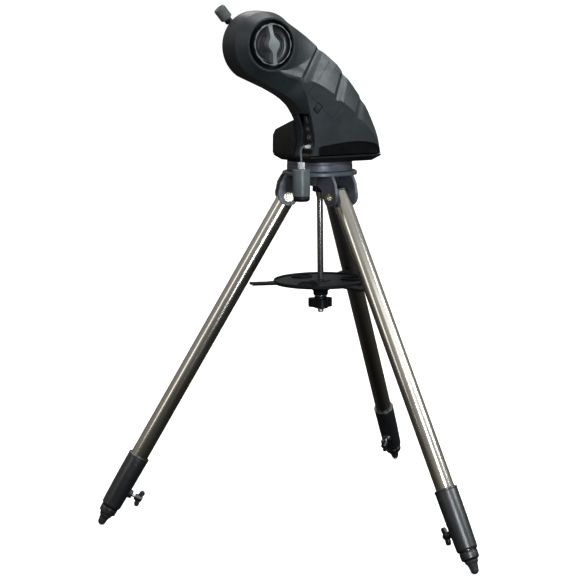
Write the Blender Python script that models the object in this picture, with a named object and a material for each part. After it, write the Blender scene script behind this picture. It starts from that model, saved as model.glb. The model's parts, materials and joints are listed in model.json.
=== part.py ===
"""A computerised single-arm telescope mount on its folding steel tripod.

The stand frame has its origin on the ground under the azimuth axis. The front leg points along -Y.
The mount frame turns with the azimuth axis: its X runs along the arm's width, -Y is the arm's outer side.
Each leg frame sits on its hinge pin: +Z up along the leg, +X square to the leg and outwards.
"""

import math

import bmesh
import bpy
from mathutils import Matrix, Vector

GAP = 0.0004  # between pieces that touch on the real object

# Stand
AXIS_Y = 0.0990  # azimuth axis, so that the object's box is centred on the origin
LEG_ANGLES = {"front": -90.0, "right": 30.0, "left": 150.0}
LEG_TILT = math.radians(30.62)
PIVOT_RADIUS = 0.058
PIVOT_HEIGHT = 0.5875
LEG_LENGTH = 0.6827  # hinge pin to the tip of the foot
TUBE_RADIUS = 0.015875
TUBE_WALL = 0.0012
TUBE_TOP = 0.007  # above the hinge pin
COLLAR_TOP = 0.147  # heights along the leg are from the tip of the foot
COLLAR_BOTTOM = 0.041
COLLAR_RADIUS = 0.01975
COLLAR_STEP = 0.084
LOCK_HEIGHT = 0.076
INNER_TUBE_RADIUS = 0.0127
INNER_TUBE_TOP = 0.560
FOOT_TOP = 0.0240
FOOT_TIP_RADIUS = 0.007
FLANGE_RADIUS = 0.0662
FLANGE_BOTTOM = 0.6242
FLANGE_TOP = 0.6318
EAR_INNER = 0.019
EAR_OUTER = 0.025
PIN_RADIUS = 0.0038
ROD_RADIUS = 0.0055
ROD_BOTTOM = 0.3775
ROD_TOP = 0.6400

# Accessory tray
TRAY_TOP = 0.434
TRAY_RADIUS = 0.084
TRAY_ARM_REACH = 0.1293
EYEPIECE_CIRCLE = 0.056
EYEPIECE_RADIUS = 0.0162

# Mount
MOUNT_TURN = math.radians(-8.356)
TURNTABLE_RADIUS = 0.058
TURNTABLE_TOP = 0.6494
FLOOR_BOTTOM = 0.650
SEAM = 0.661
WALL = 0.0025
FACE_Y = -0.075
PARTING_Y = -0.026
ARM_BACK_Y = -0.012
BASE_BACK_Y = 0.062
BASE_LEFT_X = -0.062
BASE_RIGHT_X = 0.088
HUB_X, HUB_Z = -0.1317, 0.8511
BODY_X, BODY_Z = -0.1344, 0.8490  # the round end of the arm isn't quite centred on the altitude axis
BODY_RADIUS = 0.0593
SHOULDER_RADIUS = 0.0568
SHOULDER_Y = -0.0585
RING_RADIUS = 0.0445
RECESS_RADIUS = 0.0415
RECESS_FLOOR_Y = -0.0625
KNOB_RADIUS = 0.035
KNOB_FRONT_Y = -0.080
SHAFT_RADIUS = 0.009
WHEEL_TEETH = 48
AZIMUTH_WHEEL_RADIUS = 0.042
ALTITUDE_WHEEL_RADIUS = 0.034
WORM_RADIUS = 0.0045
DOOR_CENTRE = (-0.016, 0.7728)
DOOR_ANGLE = math.radians(-45.0)
DOOR_LENGTH = 0.064
DOOR_WIDTH = 0.070
DOOR_HINGE_Y = -0.0620
PANEL_X = -0.052
PORTS = {  # centre y, centre z, width and height of each cut-out
    "switch": (-0.0520, 0.7240, 0.0106, 0.0164),
    "remote": (-0.0560, 0.7080, 0.0080, 0.0080),
    "power": (-0.0600, 0.6945, 0.0106, 0.0106),
    "control": (-0.0635, 0.6785, 0.0116, 0.0116),
}
CHANNEL_ANGLE = math.radians(40.0)
CHANNEL_FLOOR = 0.010
SADDLE_TOP = 0.022
SADDLE_RADIUS = 0.041
SADDLE_LENGTH = 0.064
JAW_LENGTH = 0.048
SCREW_LEVEL = 0.016
CORD_RADIUS = 0.0018
ADAPTER_X, ADAPTER_Y = -0.0815, -0.0815
ADAPTER_RADIUS = 0.0147
ADAPTER_BOTTOM = 0.5875
ADAPTER_TOP = 0.6425

COLOURS = {
    "charcoal_plastic": ((0.028, 0.031, 0.033), 0.45, 0.0),
    "black_plastic": ((0.015, 0.016, 0.018), 0.5, 0.0),
    "black_casting": ((0.03, 0.031, 0.035), 0.42, 0.3),
    "polished_steel": ((0.72, 0.69, 0.65), 0.16, 1.0),
    "zinc_steel": ((0.70, 0.67, 0.55), 0.3, 1.0),
    "brass": ((0.72, 0.55, 0.25), 0.3, 1.0),
    "black_rubber": ((0.02, 0.02, 0.021), 0.8, 0.0),
    "clear_plastic": ((0.82, 0.84, 0.86), 0.15, 0.0),
    "grey_cord": ((0.10, 0.11, 0.115), 0.5, 0.0),
    "circuit_green": ((0.03, 0.16, 0.08), 0.4, 0.0),
}


# Tools

def clear_scene():
    for obj in list(bpy.data.objects):
        bpy.data.objects.remove(obj)


def material(name, finish):
    colour, roughness, metallic = COLOURS[finish]
    made = bpy.data.materials.new(name + "_" + finish)
    made.use_nodes = True
    shader = made.node_tree.nodes["Principled BSDF"]
    shader.inputs["Base Color"].default_value = (*colour, 1.0)
    shader.inputs["Roughness"].default_value = roughness
    shader.inputs["Metallic"].default_value = metallic
    return made


def empty(name, parent=None, matrix=None):
    made = bpy.data.objects.new(name, None)
    bpy.context.scene.collection.objects.link(made)
    made.parent = parent
    made.matrix_basis = matrix or Matrix.Identity(4)
    return made


def frame_at(origin, z_axis, x_axis):
    """A placement whose Z points along z_axis and whose X is as near x_axis as it can be."""
    z = Vector(z_axis).normalized()
    x = Vector(x_axis)
    x = (x - x.dot(z) * z).normalized()
    placed = Matrix((x, z.cross(x), z)).transposed().to_4x4()
    placed.translation = Vector(origin)
    return placed


def add_object(name, bm, parent, matrix=None):
    bmesh.ops.recalc_face_normals(bm, faces=bm.faces)
    bmesh.ops.triangulate(bm, faces=bm.faces)
    mesh = bpy.data.meshes.new(name)
    bm.to_mesh(mesh)
    bm.free()
    mesh.shade_smooth()
    mesh.set_sharp_from_angle(angle=math.radians(35))
    made = bpy.data.objects.new(name, mesh)
    bpy.context.scene.collection.objects.link(made)
    made.parent = parent
    made.matrix_basis = matrix or Matrix.Identity(4)
    return made


def piece(name, bm, finish, parent, matrix=None):
    made = add_object(name, bm, parent, matrix)
    made.data.materials.append(material(name, finish))
    return made


def helper(name, bm, parent, matrix=None):
    """A solid that only shapes others: it cuts them or is fused to them."""
    made = add_object(name, bm, parent, matrix)
    made.hide_render = True
    made.display_type = "WIRE"
    return made


FACETS_MEET_BADLY = {"accessory_tray", "arm_outer_shell"}  # where the exact solver leaves open edges


def combine(target, other, operation):
    modifier = target.modifiers.new(operation.lower() + "_" + other.name, "BOOLEAN")
    modifier.operation = operation
    modifier.object = other
    modifier.solver = "MANIFOLD" if target.name in FACETS_MEET_BADLY else "EXACT"


def cut(target, other):
    combine(target, other, "DIFFERENCE")


def fuse(target, other):
    combine(target, other, "UNION")


def turned(profile, segments=24):
    """A solid turned about Z from (radius, height) points; it starts and ends on the axis, or is a closed ring."""
    bm = bmesh.new()
    rings = []
    for radius, height in profile:
        count = segments if radius > 0 else 1
        turn = math.tau / segments
        rings.append([
            bm.verts.new((radius * math.cos(i * turn), radius * math.sin(i * turn), height))
            for i in range(count)
        ])
    for low, high in zip(rings, rings[1:] + rings[:1]):
        if len(low) == len(high) == 1:
            continue
        for i in range(segments):
            j = (i + 1) % segments
            corners = (low[i % len(low)], low[j % len(low)], high[j % len(high)], high[i % len(high)])
            bm.faces.new(list(dict.fromkeys(corners)))
    return bm


def prism(outline, low, high):
    """A solid between two heights, from an outline of (x, y) points."""
    bm = bmesh.new()
    bottom = [bm.verts.new((x, y, low)) for x, y in outline]
    top = [bm.verts.new((x, y, high)) for x, y in outline]
    bm.faces.new(bottom)
    bm.faces.new(top)
    for i in range(len(outline)):
        j = (i + 1) % len(outline)
        bm.faces.new((bottom[i], bottom[j], top[j], top[i]))
    return bm


def box(low, high):
    return prism([(low[0], low[1]), (high[0], low[1]), (high[0], high[1]), (low[0], high[1])], low[2], high[2])


def rod(radius, low, high, segments=20):
    return turned([(0, low), (radius, low), (radius, high), (0, high)], segments)


def pipe(outer, inner, low, high, segments=24):
    return turned([(inner, low), (outer, low), (outer, high), (inner, high)], segments)


def arc(centre, radius, start, end, steps):
    """Points on an arc, angles in degrees."""
    angles = [math.radians(start + (end - start) * i / steps) for i in range(steps + 1)]
    return [(centre[0] + radius * math.cos(a), centre[1] + radius * math.sin(a)) for a in angles]


def curve_through(points, steps):
    """A smooth curve through the points, with this many steps between each two (Catmull-Rom)."""
    known = [Vector(p) for p in points]
    known = [2 * known[0] - known[1], *known, 2 * known[-1] - known[-2]]
    found = []
    for a, b, c, d in zip(known, known[1:], known[2:], known[3:]):
        for i in range(steps):
            t = i / steps
            found.append(0.5 * (2 * b + (c - a) * t + (2 * a - 5 * b + 4 * c - d) * t**2
                                + (3 * b - a - 3 * c + d) * t**3))
    return [tuple(p) for p in found] + [tuple(known[-2])]


def gear_outline(radius, teeth, depth):
    """A zigzag round the rim, one peak for each tooth."""
    step = math.pi / teeth
    radii = (radius, radius - depth)
    return [(radii[i % 2] * math.cos(i * step), radii[i % 2] * math.sin(i * step)) for i in range(2 * teeth)]


# Tripod

def leg_frames(stand):
    """One frame on each leg's hinge pin, tilted with the leg."""
    frames = {}
    for name, degrees in LEG_ANGLES.items():
        turn = Matrix.Rotation(math.radians(degrees), 4, "Z")
        pivot = Matrix.Translation((PIVOT_RADIUS, 0, PIVOT_HEIGHT))
        tilt = Matrix.Rotation(-LEG_TILT, 4, "Y")
        frames[name] = empty(name + "_leg_frame", stand, turn @ pivot @ tilt)
    return frames


def along(height):
    """A height along the leg from the tip of the foot, in the leg frame."""
    return height - LEG_LENGTH


def tripod_head(stand):
    flange = turned([
        (ROD_RADIUS + 0.0006, 0.606), (0.030, 0.606), (0.033, 0.618), (0.036, FLANGE_BOTTOM),
        (FLANGE_RADIUS, FLANGE_BOTTOM), (FLANGE_RADIUS, FLANGE_TOP), (ROD_RADIUS + 0.0006, FLANGE_TOP),
    ], 36)
    head = piece("tripod_head", flange, "black_casting", stand)
    lobe = [(0.024, 0.628), (0.064, 0.628), (0.0665, 0.6235), (0.0735, 0.612)]
    lobe += arc((PIVOT_RADIUS, 0.5915), 0.0195, 20, -120, 7)
    lobe += [(0.042, 0.583), (0.036, 0.600), (0.024, 0.606)]
    for leg, degrees in LEG_ANGLES.items():
        turn = Matrix.Rotation(math.radians(degrees), 4, "Z")
        for side, low in (("a", EAR_INNER), ("b", -EAR_OUTER)):
            plate = prism(lobe, -(low + EAR_OUTER - EAR_INNER), -low)
            fuse(head, helper(f"{leg}_ear_{side}", plate, stand, turn @ Matrix.Rotation(math.pi / 2, 4, "X")))
        across = frame_at((PIVOT_RADIUS, 0, PIVOT_HEIGHT), (0, 1, 0), (1, 0, 0))
        cut(head, helper(leg + "_pin_hole", rod(PIN_RADIUS + 0.0004, -0.035, 0.035, 12), stand, turn @ across))


def hinge_bolt(leg, frame):
    """Hexagon head on one side, plain shank through both ears."""
    across = frame_at((0, 0, 0), (0, 1, 0), (1, 0, 0))
    bolt = piece(leg + "_hinge_bolt", rod(PIN_RADIUS, -0.0300, 0.0270, 12), "zinc_steel", frame, across)
    head = helper(leg + "_bolt_head", rod(0.0064, EAR_OUTER + GAP, 0.0298, 6), frame, across)
    fuse(bolt, head)


def leg_tube(leg, frame):
    low, high = along(COLLAR_STEP) + GAP, TUBE_TOP
    tube = piece(leg + "_leg_tube", pipe(TUBE_RADIUS, TUBE_RADIUS - TUBE_WALL, low, high), "polished_steel", frame)
    hole = rod(PIN_RADIUS + 0.0004, -0.03, 0.03, 12)
    cut(tube, helper(leg + "_tube_hole", hole, frame, frame_at((0, 0, 0), (0, 1, 0), (1, 0, 0))))


def leg_top_plug(leg, frame):
    inside = TUBE_RADIUS - TUBE_WALL - GAP
    cap = TUBE_RADIUS + 0.0006
    top = TUBE_TOP + GAP
    plug = turned([
        (0, -0.030), (inside, -0.030), (inside, top), (cap, top), (cap, top + 0.003),
        (0.011, top + 0.0065), (0, top + 0.0075),
    ], 16)
    plug = piece(leg + "_leg_top_plug", plug, "black_plastic", frame)
    hole = rod(PIN_RADIUS + 0.0004, -0.03, 0.03, 12)
    cut(plug, helper(leg + "_plug_hole", hole, frame, frame_at((0, 0, 0), (0, 1, 0), (1, 0, 0))))


def leg_collar(leg, frame):
    """The moulding at the tube's lower end, which the inner tube slides through."""
    seat = TUBE_RADIUS + GAP
    bore = INNER_TUBE_RADIUS + 0.0005
    low, high = along(COLLAR_BOTTOM), along(COLLAR_TOP)
    collar = turned([
        (bore, low), (0.0165, low), (0.0178, low + 0.003), (COLLAR_RADIUS - 0.0008, low + 0.050),
        (COLLAR_RADIUS - 0.0004, high - 0.004), (COLLAR_RADIUS, high - 0.0035), (COLLAR_RADIUS, high - 0.001),
        (COLLAR_RADIUS - 0.001, high), (seat, high), (seat, along(COLLAR_STEP)), (bore, along(COLLAR_STEP)),
    ], 20)
    collar = piece(leg + "_leg_collar", collar, "black_plastic", frame)
    inwards = frame_at((0, 0, along(LOCK_HEIGHT)), (-1, 0, 0), (0, 0, 1))
    fuse(collar, helper(leg + "_lock_boss", rod(0.0078, 0.0150, 0.0240, 12), frame, inwards))
    cut(collar, helper(leg + "_lock_hole", rod(0.0034, 0.0100, 0.0300, 10), frame, inwards))


def wing_screw(leg, frame):
    """Turned by its two wings, its end presses on the inner tube."""
    inwards = frame_at((0, 0, along(LOCK_HEIGHT)), (-1, 0, 0), (0, 0, 1))
    screw = piece(leg + "_wing_screw", turned([
        (0, 0.0134), (0.0030, 0.0134), (0.0030, 0.0300), (0.0060, 0.0310), (0.0052, 0.0430), (0, 0.0430),
    ], 12), "black_plastic", frame, inwards)
    wing = [(0.003, 0.0335), (0.012, 0.0345), (0.0155, 0.0370), (0.0155, 0.0415), (0.012, 0.0440), (0.003, 0.0425)]
    wings = wing + [(-x, z) for x, z in reversed(wing)]
    turn = inwards @ Matrix.Rotation(math.pi / 2, 4, "X")
    fuse(screw, helper(leg + "_wings", prism(wings, -0.0032, 0.0032), frame, turn))


def inner_tube(leg, frame):
    low, high = along(0.0262), along(INNER_TUBE_TOP)
    piece(leg + "_inner_tube", pipe(INNER_TUBE_RADIUS, 0.0115, low, high, 20), "polished_steel", frame)


def end_cap(leg, frame):
    """The plastic cup over the inner tube's lower end, with a socket for the foot's stem."""
    low, high = along(FOOT_TOP) + GAP, along(0.0385)
    around = INNER_TUBE_RADIUS + GAP
    floor = along(0.0262) - GAP
    cap = turned([
        (0.0050 + GAP, low), (0.0118, low), (0.0152, low + 0.003), (0.0156, high),
        (around, high), (around, floor), (0.0050 + GAP, floor),
    ], 16)
    piece(leg + "_end_cap", cap, "black_plastic", frame)


def rubber_foot(leg, frame):
    """A tapered boot whose round tip stands on the ground."""
    ball = FOOT_TIP_RADIUS
    centre = along(ball / math.cos(LEG_TILT))
    tip = [(ball * math.cos(math.radians(a)), centre + ball * math.sin(math.radians(a))) for a in range(-72, 1, 18)]
    top = along(FOOT_TOP)
    stem = along(0.0250)
    profile = [(0, centre - ball), *tip, (0.0085, top - 0.006), (0.0112, top - 0.003), (0.0112, top),
               (0.0050, top), (0.0050, stem), (0, stem)]
    piece(leg + "_rubber_foot", turned(profile, 14), "black_rubber", frame)


def legs(stand):
    for leg, frame in leg_frames(stand).items():
        hinge_bolt(leg, frame)
        leg_tube(leg, frame)
        leg_top_plug(leg, frame)
        leg_collar(leg, frame)
        wing_screw(leg, frame)
        inner_tube(leg, frame)
        end_cap(leg, frame)
        rubber_foot(leg, frame)


def centre_rod(stand):
    piece("centre_rod", rod(ROD_RADIUS, ROD_BOTTOM, ROD_TOP, 20), "polished_steel", stand)


def rod_hand_nut(stand):
    nut = pipe(0.0130, ROD_RADIUS + GAP, 0.5940, 0.6055, 24)
    piece("rod_hand_nut", nut, "black_plastic", stand)


def accessory_tray(stand):
    """A dished plate with three eyepiece rings, a hub for the rod and an arm to each leg."""
    bore = ROD_RADIUS + 0.0005
    top = TRAY_TOP
    tray = piece("accessory_tray", turned([
        (bore, 0.4088), (0.013, 0.4088), (0.013, 0.416), (0.030, top - 0.005), (0.040, top - 0.003),
        (TRAY_RADIUS, top - 0.003), (TRAY_RADIUS, top + 0.0035), (TRAY_RADIUS - 0.0025, top + 0.0035),
        (TRAY_RADIUS - 0.0025, top), (0.018, top), (0.016, top + 0.0025), (bore, top + 0.0025),
    ], 36), "black_plastic", stand)
    for leg, degrees in LEG_ANGLES.items():
        turn = Matrix.Rotation(math.radians(degrees), 4, "Z")
        outline = [(0.078, 0.013), (0.100, 0.0095), (TRAY_ARM_REACH, 0.0095), (TRAY_ARM_REACH - 0.003, 0.0)]
        outline += [(x, -y) for x, y in reversed(outline[:3])]
        fuse(tray, helper(leg + "_tray_arm", prism(outline, top - 0.0045, top - 0.0002), stand, turn))
        between = turn @ Matrix.Rotation(math.pi / 3, 4, "Z") @ Matrix.Translation((EYEPIECE_CIRCLE, 0, 0))
        rim = pipe(EYEPIECE_RADIUS + 0.003, EYEPIECE_RADIUS - 0.002, top - 0.002, top + 0.0045, 24)
        fuse(tray, helper(leg + "_eyepiece_rim", rim, stand, between))
        cut(tray, helper(leg + "_eyepiece_hole", rod(EYEPIECE_RADIUS, top - 0.02, top + 0.02, 24), stand, between))


def tray_washer(stand):
    piece("tray_washer", pipe(0.0118, ROD_RADIUS + GAP, 0.4075, 0.4084, 24), "zinc_steel", stand)


def tray_knob(stand):
    """A three-lobed hand nut."""
    steps = 30
    lobes = [0.0190 + 0.0045 * math.cos(3 * math.tau * i / steps) for i in range(steps)]
    outline = [(r * math.cos(math.tau * i / steps), r * math.sin(math.tau * i / steps)) for i, r in enumerate(lobes)]
    knob = piece("tray_knob", prism(outline, 0.3865, 0.4018), "black_plastic", stand)
    fuse(knob, helper("tray_knob_neck", rod(0.0112, 0.3900, 0.4071, 24), stand))
    cut(knob, helper("tray_knob_bore", rod(ROD_RADIUS + 0.0005, 0.37, 0.42, 24), stand))


# Azimuth drive

def turntable(stand):
    """Bolted to the tripod head by the centre rod; its spindle carries the mount."""
    rod_hole = ROD_RADIUS + 0.0004
    low = FLANGE_TOP + GAP
    piece("azimuth_turntable", turned([
        (0, 0.6405), (rod_hole, 0.6405), (rod_hole, low), (0.0572, low), (TURNTABLE_RADIUS, low + 0.001),
        (TURNTABLE_RADIUS, TURNTABLE_TOP), (0.0170, TURNTABLE_TOP), (0.0170, 0.6616), (0.0120, 0.6616),
        (0.0120, 0.6740), (0, 0.6740),
    ], 36), "black_casting", stand)


def worm_wheel(name, radius, bore, low, high, parent, matrix=None):
    wheel = piece(name, prism(gear_outline(radius, WHEEL_TEETH, 0.0012), low, high), "brass", parent, matrix)
    cut(wheel, helper(name + "_bore", rod(bore, low - 0.01, high + 0.01, 24), parent, matrix))


def worm(name, length, parent, matrix):
    """A screw thread rolled round a shaft that runs along Z."""
    turns, steps_round, steps_along = 4, 8, 16
    bm = bmesh.new()
    rings = []
    for i in range(steps_along + 1):
        ring = []
        for j in range(steps_round):
            phase = (i / steps_along * turns - j / steps_round) % 1.0
            radius = WORM_RADIUS - 0.0022 * abs(2 * phase - 1)
            angle = math.tau * j / steps_round
            height = length * (i / steps_along - 0.5)
            ring.append(bm.verts.new((radius * math.cos(angle), radius * math.sin(angle), height)))
        rings.append(ring)
    bm.faces.new(rings[0])
    bm.faces.new(rings[-1])
    for low, high in zip(rings, rings[1:]):
        for j in range(steps_round):
            k = (j + 1) % steps_round
            bm.faces.new((low[j], low[k], high[k], high[j]))
    piece(name, bm, "zinc_steel", parent, matrix)


def motor(name, parent, matrix):
    """Can, gearbox and output shaft along Z, from the shaft's end."""
    piece(name, turned([
        (0, 0), (0.0020, 0), (0.0020, 0.012), (0.0118, 0.012), (0.0118, 0.026), (0.0112, 0.026), (0.0112, 0.048),
        (0, 0.048),
    ], 16), "zinc_steel", parent, matrix)


def azimuth_drive(mount):
    level = 0.6665
    worm_wheel("azimuth_worm_wheel", AZIMUTH_WHEEL_RADIUS, 0.0124, 0.6625, 0.6705, mount)
    offset = AZIMUTH_WHEEL_RADIUS + WORM_RADIUS + GAP
    worm("azimuth_worm", 0.026, mount, frame_at((0, offset, level), (1, 0, 0), (0, 1, 0)))
    motor("azimuth_motor", mount, frame_at((0.0130 + GAP, offset, level), (1, 0, 0), (0, 1, 0)))


# Mount body

def base_outline(inset):
    """The base's plan with chamfered corners."""
    left, right = BASE_LEFT_X + inset, BASE_RIGHT_X - inset
    front, back = FACE_Y + inset, BASE_BACK_Y - inset
    corner = 0.010
    return [
        (left + corner / 2, front), (right - corner, front), (right, front + corner), (right, back - corner),
        (right - corner, back), (left + corner, back), (left, back - corner), (left, front + corner / 2),
    ]


def base_floor(mount):
    """The tray that closes the base from below: its sides slope in to the bottom."""
    bm = bmesh.new()
    levels = ((SEAM, 0.0004), (0.6575, 0.0004), (FLOOR_BOTTOM, 0.0150))
    rings = [[bm.verts.new((x, y, z)) for x, y in base_outline(inset)] for z, inset in levels]
    for high, low in zip(rings, rings[1:]):
        for i in range(len(high)):
            j = (i + 1) % len(high)
            bm.faces.new((high[i], high[j], low[j], low[i]))
    bm.faces.new(rings[-1])
    floor = piece("base_floor", bm, "black_plastic", mount)
    thicken(floor)
    cut(floor, helper("spindle_hole", rod(0.0178, 0.64, 0.68, 24), mount))


def thicken(surface):
    """Gives an open surface its wall, inwards."""
    modifier = surface.modifiers.new("wall", "SOLIDIFY")
    modifier.thickness = WALL
    modifier.offset = -1.0
    modifier.use_even_offset = True


def trim(shell, low_y, high_y, mount):
    """Keeps a shell above the seam and between its two neighbours, where the wall's edge leans past them."""
    far = 0.30
    for side, low, high in (
        ("below", (-far, -far, SEAM - 0.05), (far, far, SEAM + GAP)),
        ("before", (-far, low_y - 0.05, 0.60), (far, low_y, 0.95)),
        ("behind", (-far, high_y, 0.60), (far, high_y + 0.05, 0.95)),
    ):
        cut(shell, helper(f"{shell.name}_{side}", box(low, high), mount))


def base_housing(mount):
    """The cover behind the arm: open towards the arm and below."""
    low = SEAM + GAP
    front = ARM_BACK_Y + GAP
    section = [(front, low), (front, 0.722), (0.050, 0.7045), (0.0605, 0.694), (BASE_BACK_Y, low)]
    bm = bmesh.new()
    sides = [[bm.verts.new((x, y, z)) for y, z in section] for x in (BASE_LEFT_X, BASE_RIGHT_X - 0.004)]
    for ring in sides:
        bm.faces.new(ring)
    for i in range(1, len(section) - 1):
        bm.faces.new((sides[0][i], sides[0][i + 1], sides[1][i + 1], sides[1][i]))
    housing = piece("base_housing", bm, "black_plastic", mount)
    thicken(housing)
    trim(housing, front, 0.08, mount)


# The arm seen from its outer side, as (x, z). Each edge of the outline has a line of the face that it slopes to.
CONVEX_LOW = [(0.0900, SEAM + GAP), (0.0840, 0.6910), (0.0725, 0.7195), (0.0576, 0.7476), (0.0376, 0.7756),
              (0.0023, 0.8172)]
CONVEX_HIGH = [(0.0023, 0.8172), (-0.0302, 0.8428), (-0.0610, 0.8668)]
CONCAVE = [(-0.1200, 0.7784), (-0.0940, 0.7640), (-0.0766, 0.7500), (-0.0663, 0.7360), (-0.0596, 0.7230),
           (-0.0550, 0.7060), (-0.0530, 0.6880), (-0.0545, 0.6760), (-0.0590, SEAM + GAP)]
RIDGE_LOW = [(0.0800, SEAM + GAP), (0.0740, 0.6830), (0.0620, 0.7020), (0.0450, 0.7200), (0.0210, 0.7410),
             (-0.0148, 0.7687)]
RIDGE_HIGH = [(-0.0459, 0.7862), (-0.0760, 0.7955), (-0.1070, 0.8028)]
BORDER = [(-0.1075, 0.7990), (-0.0790, 0.7905), (-0.0665, 0.7650), (-0.0600, 0.7400), (-0.0545, 0.7150),
          (-0.0510, 0.6900), (-0.0520, 0.6760), (-0.0570, SEAM + GAP)]
HUB_START, HUB_END = 44.0, 238.0  # degrees round the hub, where the two edges leave it


def arm_outline(end_radius):
    """From the base's right corner up the convex side, round the hub and down to the left corner."""
    hub = arc((BODY_X, BODY_Z), end_radius, HUB_START, HUB_END, 16)
    low = curve_through(CONVEX_LOW, 3)
    high = curve_through([*CONVEX_HIGH, hub[0]], 4)[1:]
    under = curve_through([hub[-1], CONCAVE[0]], 3)[1:]
    return low + high + hub[1:] + under + curve_through(CONCAVE, 3)[1:]


def arm_face():
    """The outer face's edge, one point for each point of the outline."""
    axis = (HUB_X, HUB_Z)
    low = curve_through(RIDGE_LOW, 3)
    high = RIDGE_HIGH + arc(axis, RING_RADIUS, -72, HUB_START, 8)
    hub = arc(axis, RING_RADIUS, HUB_START, HUB_END, 16)[1:]
    under = arc(axis, RING_RADIUS, HUB_END, 285, 3)[1:]
    return low + high + hub + under + curve_through([under[-1], *BORDER], 3)[1:]


def arm_surface(rings, closed_by):
    """An open skin: strips between the rings of points, and one face over the last ring."""
    bm = bmesh.new()
    made = [[bm.verts.new(p) for p in ring] for ring in rings]
    for outer, inner in zip(made, made[1:]):
        for i in range(len(outer) - 1):
            bm.faces.new((outer[i], outer[i + 1], inner[i + 1], inner[i]))
    if closed_by == "last":
        bm.faces.new(made[-1])
    return bm


def outer_skin():
    shoulder = [(x, SHOULDER_Y, z) for x, z in arm_outline(SHOULDER_RADIUS)]
    rim = [(x, PARTING_Y - GAP / 2, z) for x, z in arm_outline(BODY_RADIUS)]
    return arm_surface([rim, shoulder, [(x, FACE_Y, z) for x, z in arm_face()]], "last")


def door_block(margin):
    """The battery door's outline, through the arm's outer face, as a solid along Y."""
    x, z = DOOR_LENGTH / 2 + margin, DOOR_WIDTH / 2 + margin
    return box((-x, -z, 0.0), (x, z, 0.060))


def arm_outer_shell(mount):
    """The moulding on the arm's outer side, with the clutch knob's recess and openings for the door and the ports."""
    shell = piece("arm_outer_shell", outer_skin(), "charcoal_plastic", mount)
    thicken(shell)
    trim(shell, -0.08, PARTING_Y - GAP / 2, mount)
    hub = frame_at((HUB_X, 0, HUB_Z), (0, -1, 0), (1, 0, 0))
    cut(shell, helper("recess_mouth", rod(RECESS_RADIUS + 0.0002, 0.070, 0.090, 36), mount, hub))
    cup = turned([
        (0.0120, -RECESS_FLOOR_Y - 0.0020), (RECESS_RADIUS + 0.0016, -RECESS_FLOOR_Y - 0.0020),
        (RECESS_RADIUS + 0.0016, -FACE_Y - 0.0005), (RECESS_RADIUS, -FACE_Y - 0.0005),
        (RECESS_RADIUS, -RECESS_FLOOR_Y), (0.0120, -RECESS_FLOOR_Y),
    ], 36)
    fuse(shell, helper("recess_cup", cup, mount, hub))
    cut(shell, helper("door_opening", door_block(0.0004), mount, door_frame()))
    opening = box((-0.080, -0.0705, 0.6665), (-0.040, -0.0365, 0.7345))
    cut(shell, helper("port_opening", opening, mount))


def door_frame():
    x, z = DOOR_CENTRE
    across = (math.cos(DOOR_ANGLE), 0, math.sin(DOOR_ANGLE))
    return frame_at((x, -0.045, z), (0, -1, 0), across)


def battery_door(mount):
    """The part of the outer skin that opens for the batteries, hung on its upper right edge."""
    frame = door_frame()
    edge = frame @ Vector((0, DOOR_WIDTH / 2, 0))
    hinge = frame_at((edge.x, DOOR_HINGE_Y, edge.z), -frame.col[0].to_3d(), (0, -1, 0))
    door = piece("battery_door", outer_skin(), "charcoal_plastic", empty("door_hinge", mount, hinge),
                 hinge.inverted())
    thicken(door)
    combine(door, helper("door_limit", door_block(0.0), mount, frame), "INTERSECT")


def battery_holder(mount):
    """An open box under the door."""
    x, z = DOOR_LENGTH / 2 - 0.0015, DOOR_WIDTH / 2 - 0.0015
    wall = 0.0015
    frame = door_frame()
    holder = piece("battery_holder", box((-x, -z, -0.017), (x, z, 0.011)), "black_plastic", mount, frame)
    inside = box((-x + wall, -z + wall, -0.0155), (x - wall, z - wall, 0.02))
    cut(holder, helper("holder_space", inside, mount, frame))


def arm_inner_shell(mount):
    """The moulding towards the telescope, with the bearing's seat and a doorway into the base."""
    outline = arm_outline(BODY_RADIUS)
    skin = arm_surface([[(x, y, z) for x, z in outline] for y in (PARTING_Y + GAP / 2, ARM_BACK_Y)], "last")
    shell = piece("arm_inner_shell", skin, "charcoal_plastic", mount)
    thicken(shell)
    trim(shell, PARTING_Y + GAP / 2, 0.01, mount)
    hub = frame_at((HUB_X, 0, HUB_Z), (0, -1, 0), (1, 0, 0))
    fuse(shell, helper("back_disc", rod(0.050, 0.0072, 0.0135, 32), mount, hub))
    cut(shell, helper("bearing_seat", rod(0.0168, 0.0, 0.030, 24), mount, hub))
    cut(shell, helper("base_doorway", box((-0.046, -0.030, 0.640), (0.076, 0.0, 0.704)), mount))


def port_panel(mount):
    """The recessed strip that carries the switch and the sockets."""
    strip = box((PANEL_X - 0.001, -0.0700, 0.6672), (PANEL_X + 0.001, -0.0370, 0.7338))
    panel = piece("port_panel", strip, "black_plastic", mount)
    for name, (y, z, wide, high) in PORTS.items():
        hole = box((-0.070, y - wide / 2, z - high / 2), (-0.030, y + wide / 2, z + high / 2))
        cut(panel, helper(name + "_cutout", hole, mount))


def power_switch(mount):
    """A rocker, drawn with its lower half pressed in."""
    y, z, wide, high = PORTS["switch"]
    half = high / 2 - 0.0012
    outline = [(-0.0030, -half), (0.0030, -half), (0.0045, 0.0), (0.0052, half), (-0.0030, half)]
    rocker = prism(outline, -wide / 2 + 0.0007, wide / 2 - 0.0007)
    piece("power_switch", rocker, "black_plastic", mount, frame_at((PANEL_X, y, z), (0, 1, 0), (-1, 0, 0)))


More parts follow.
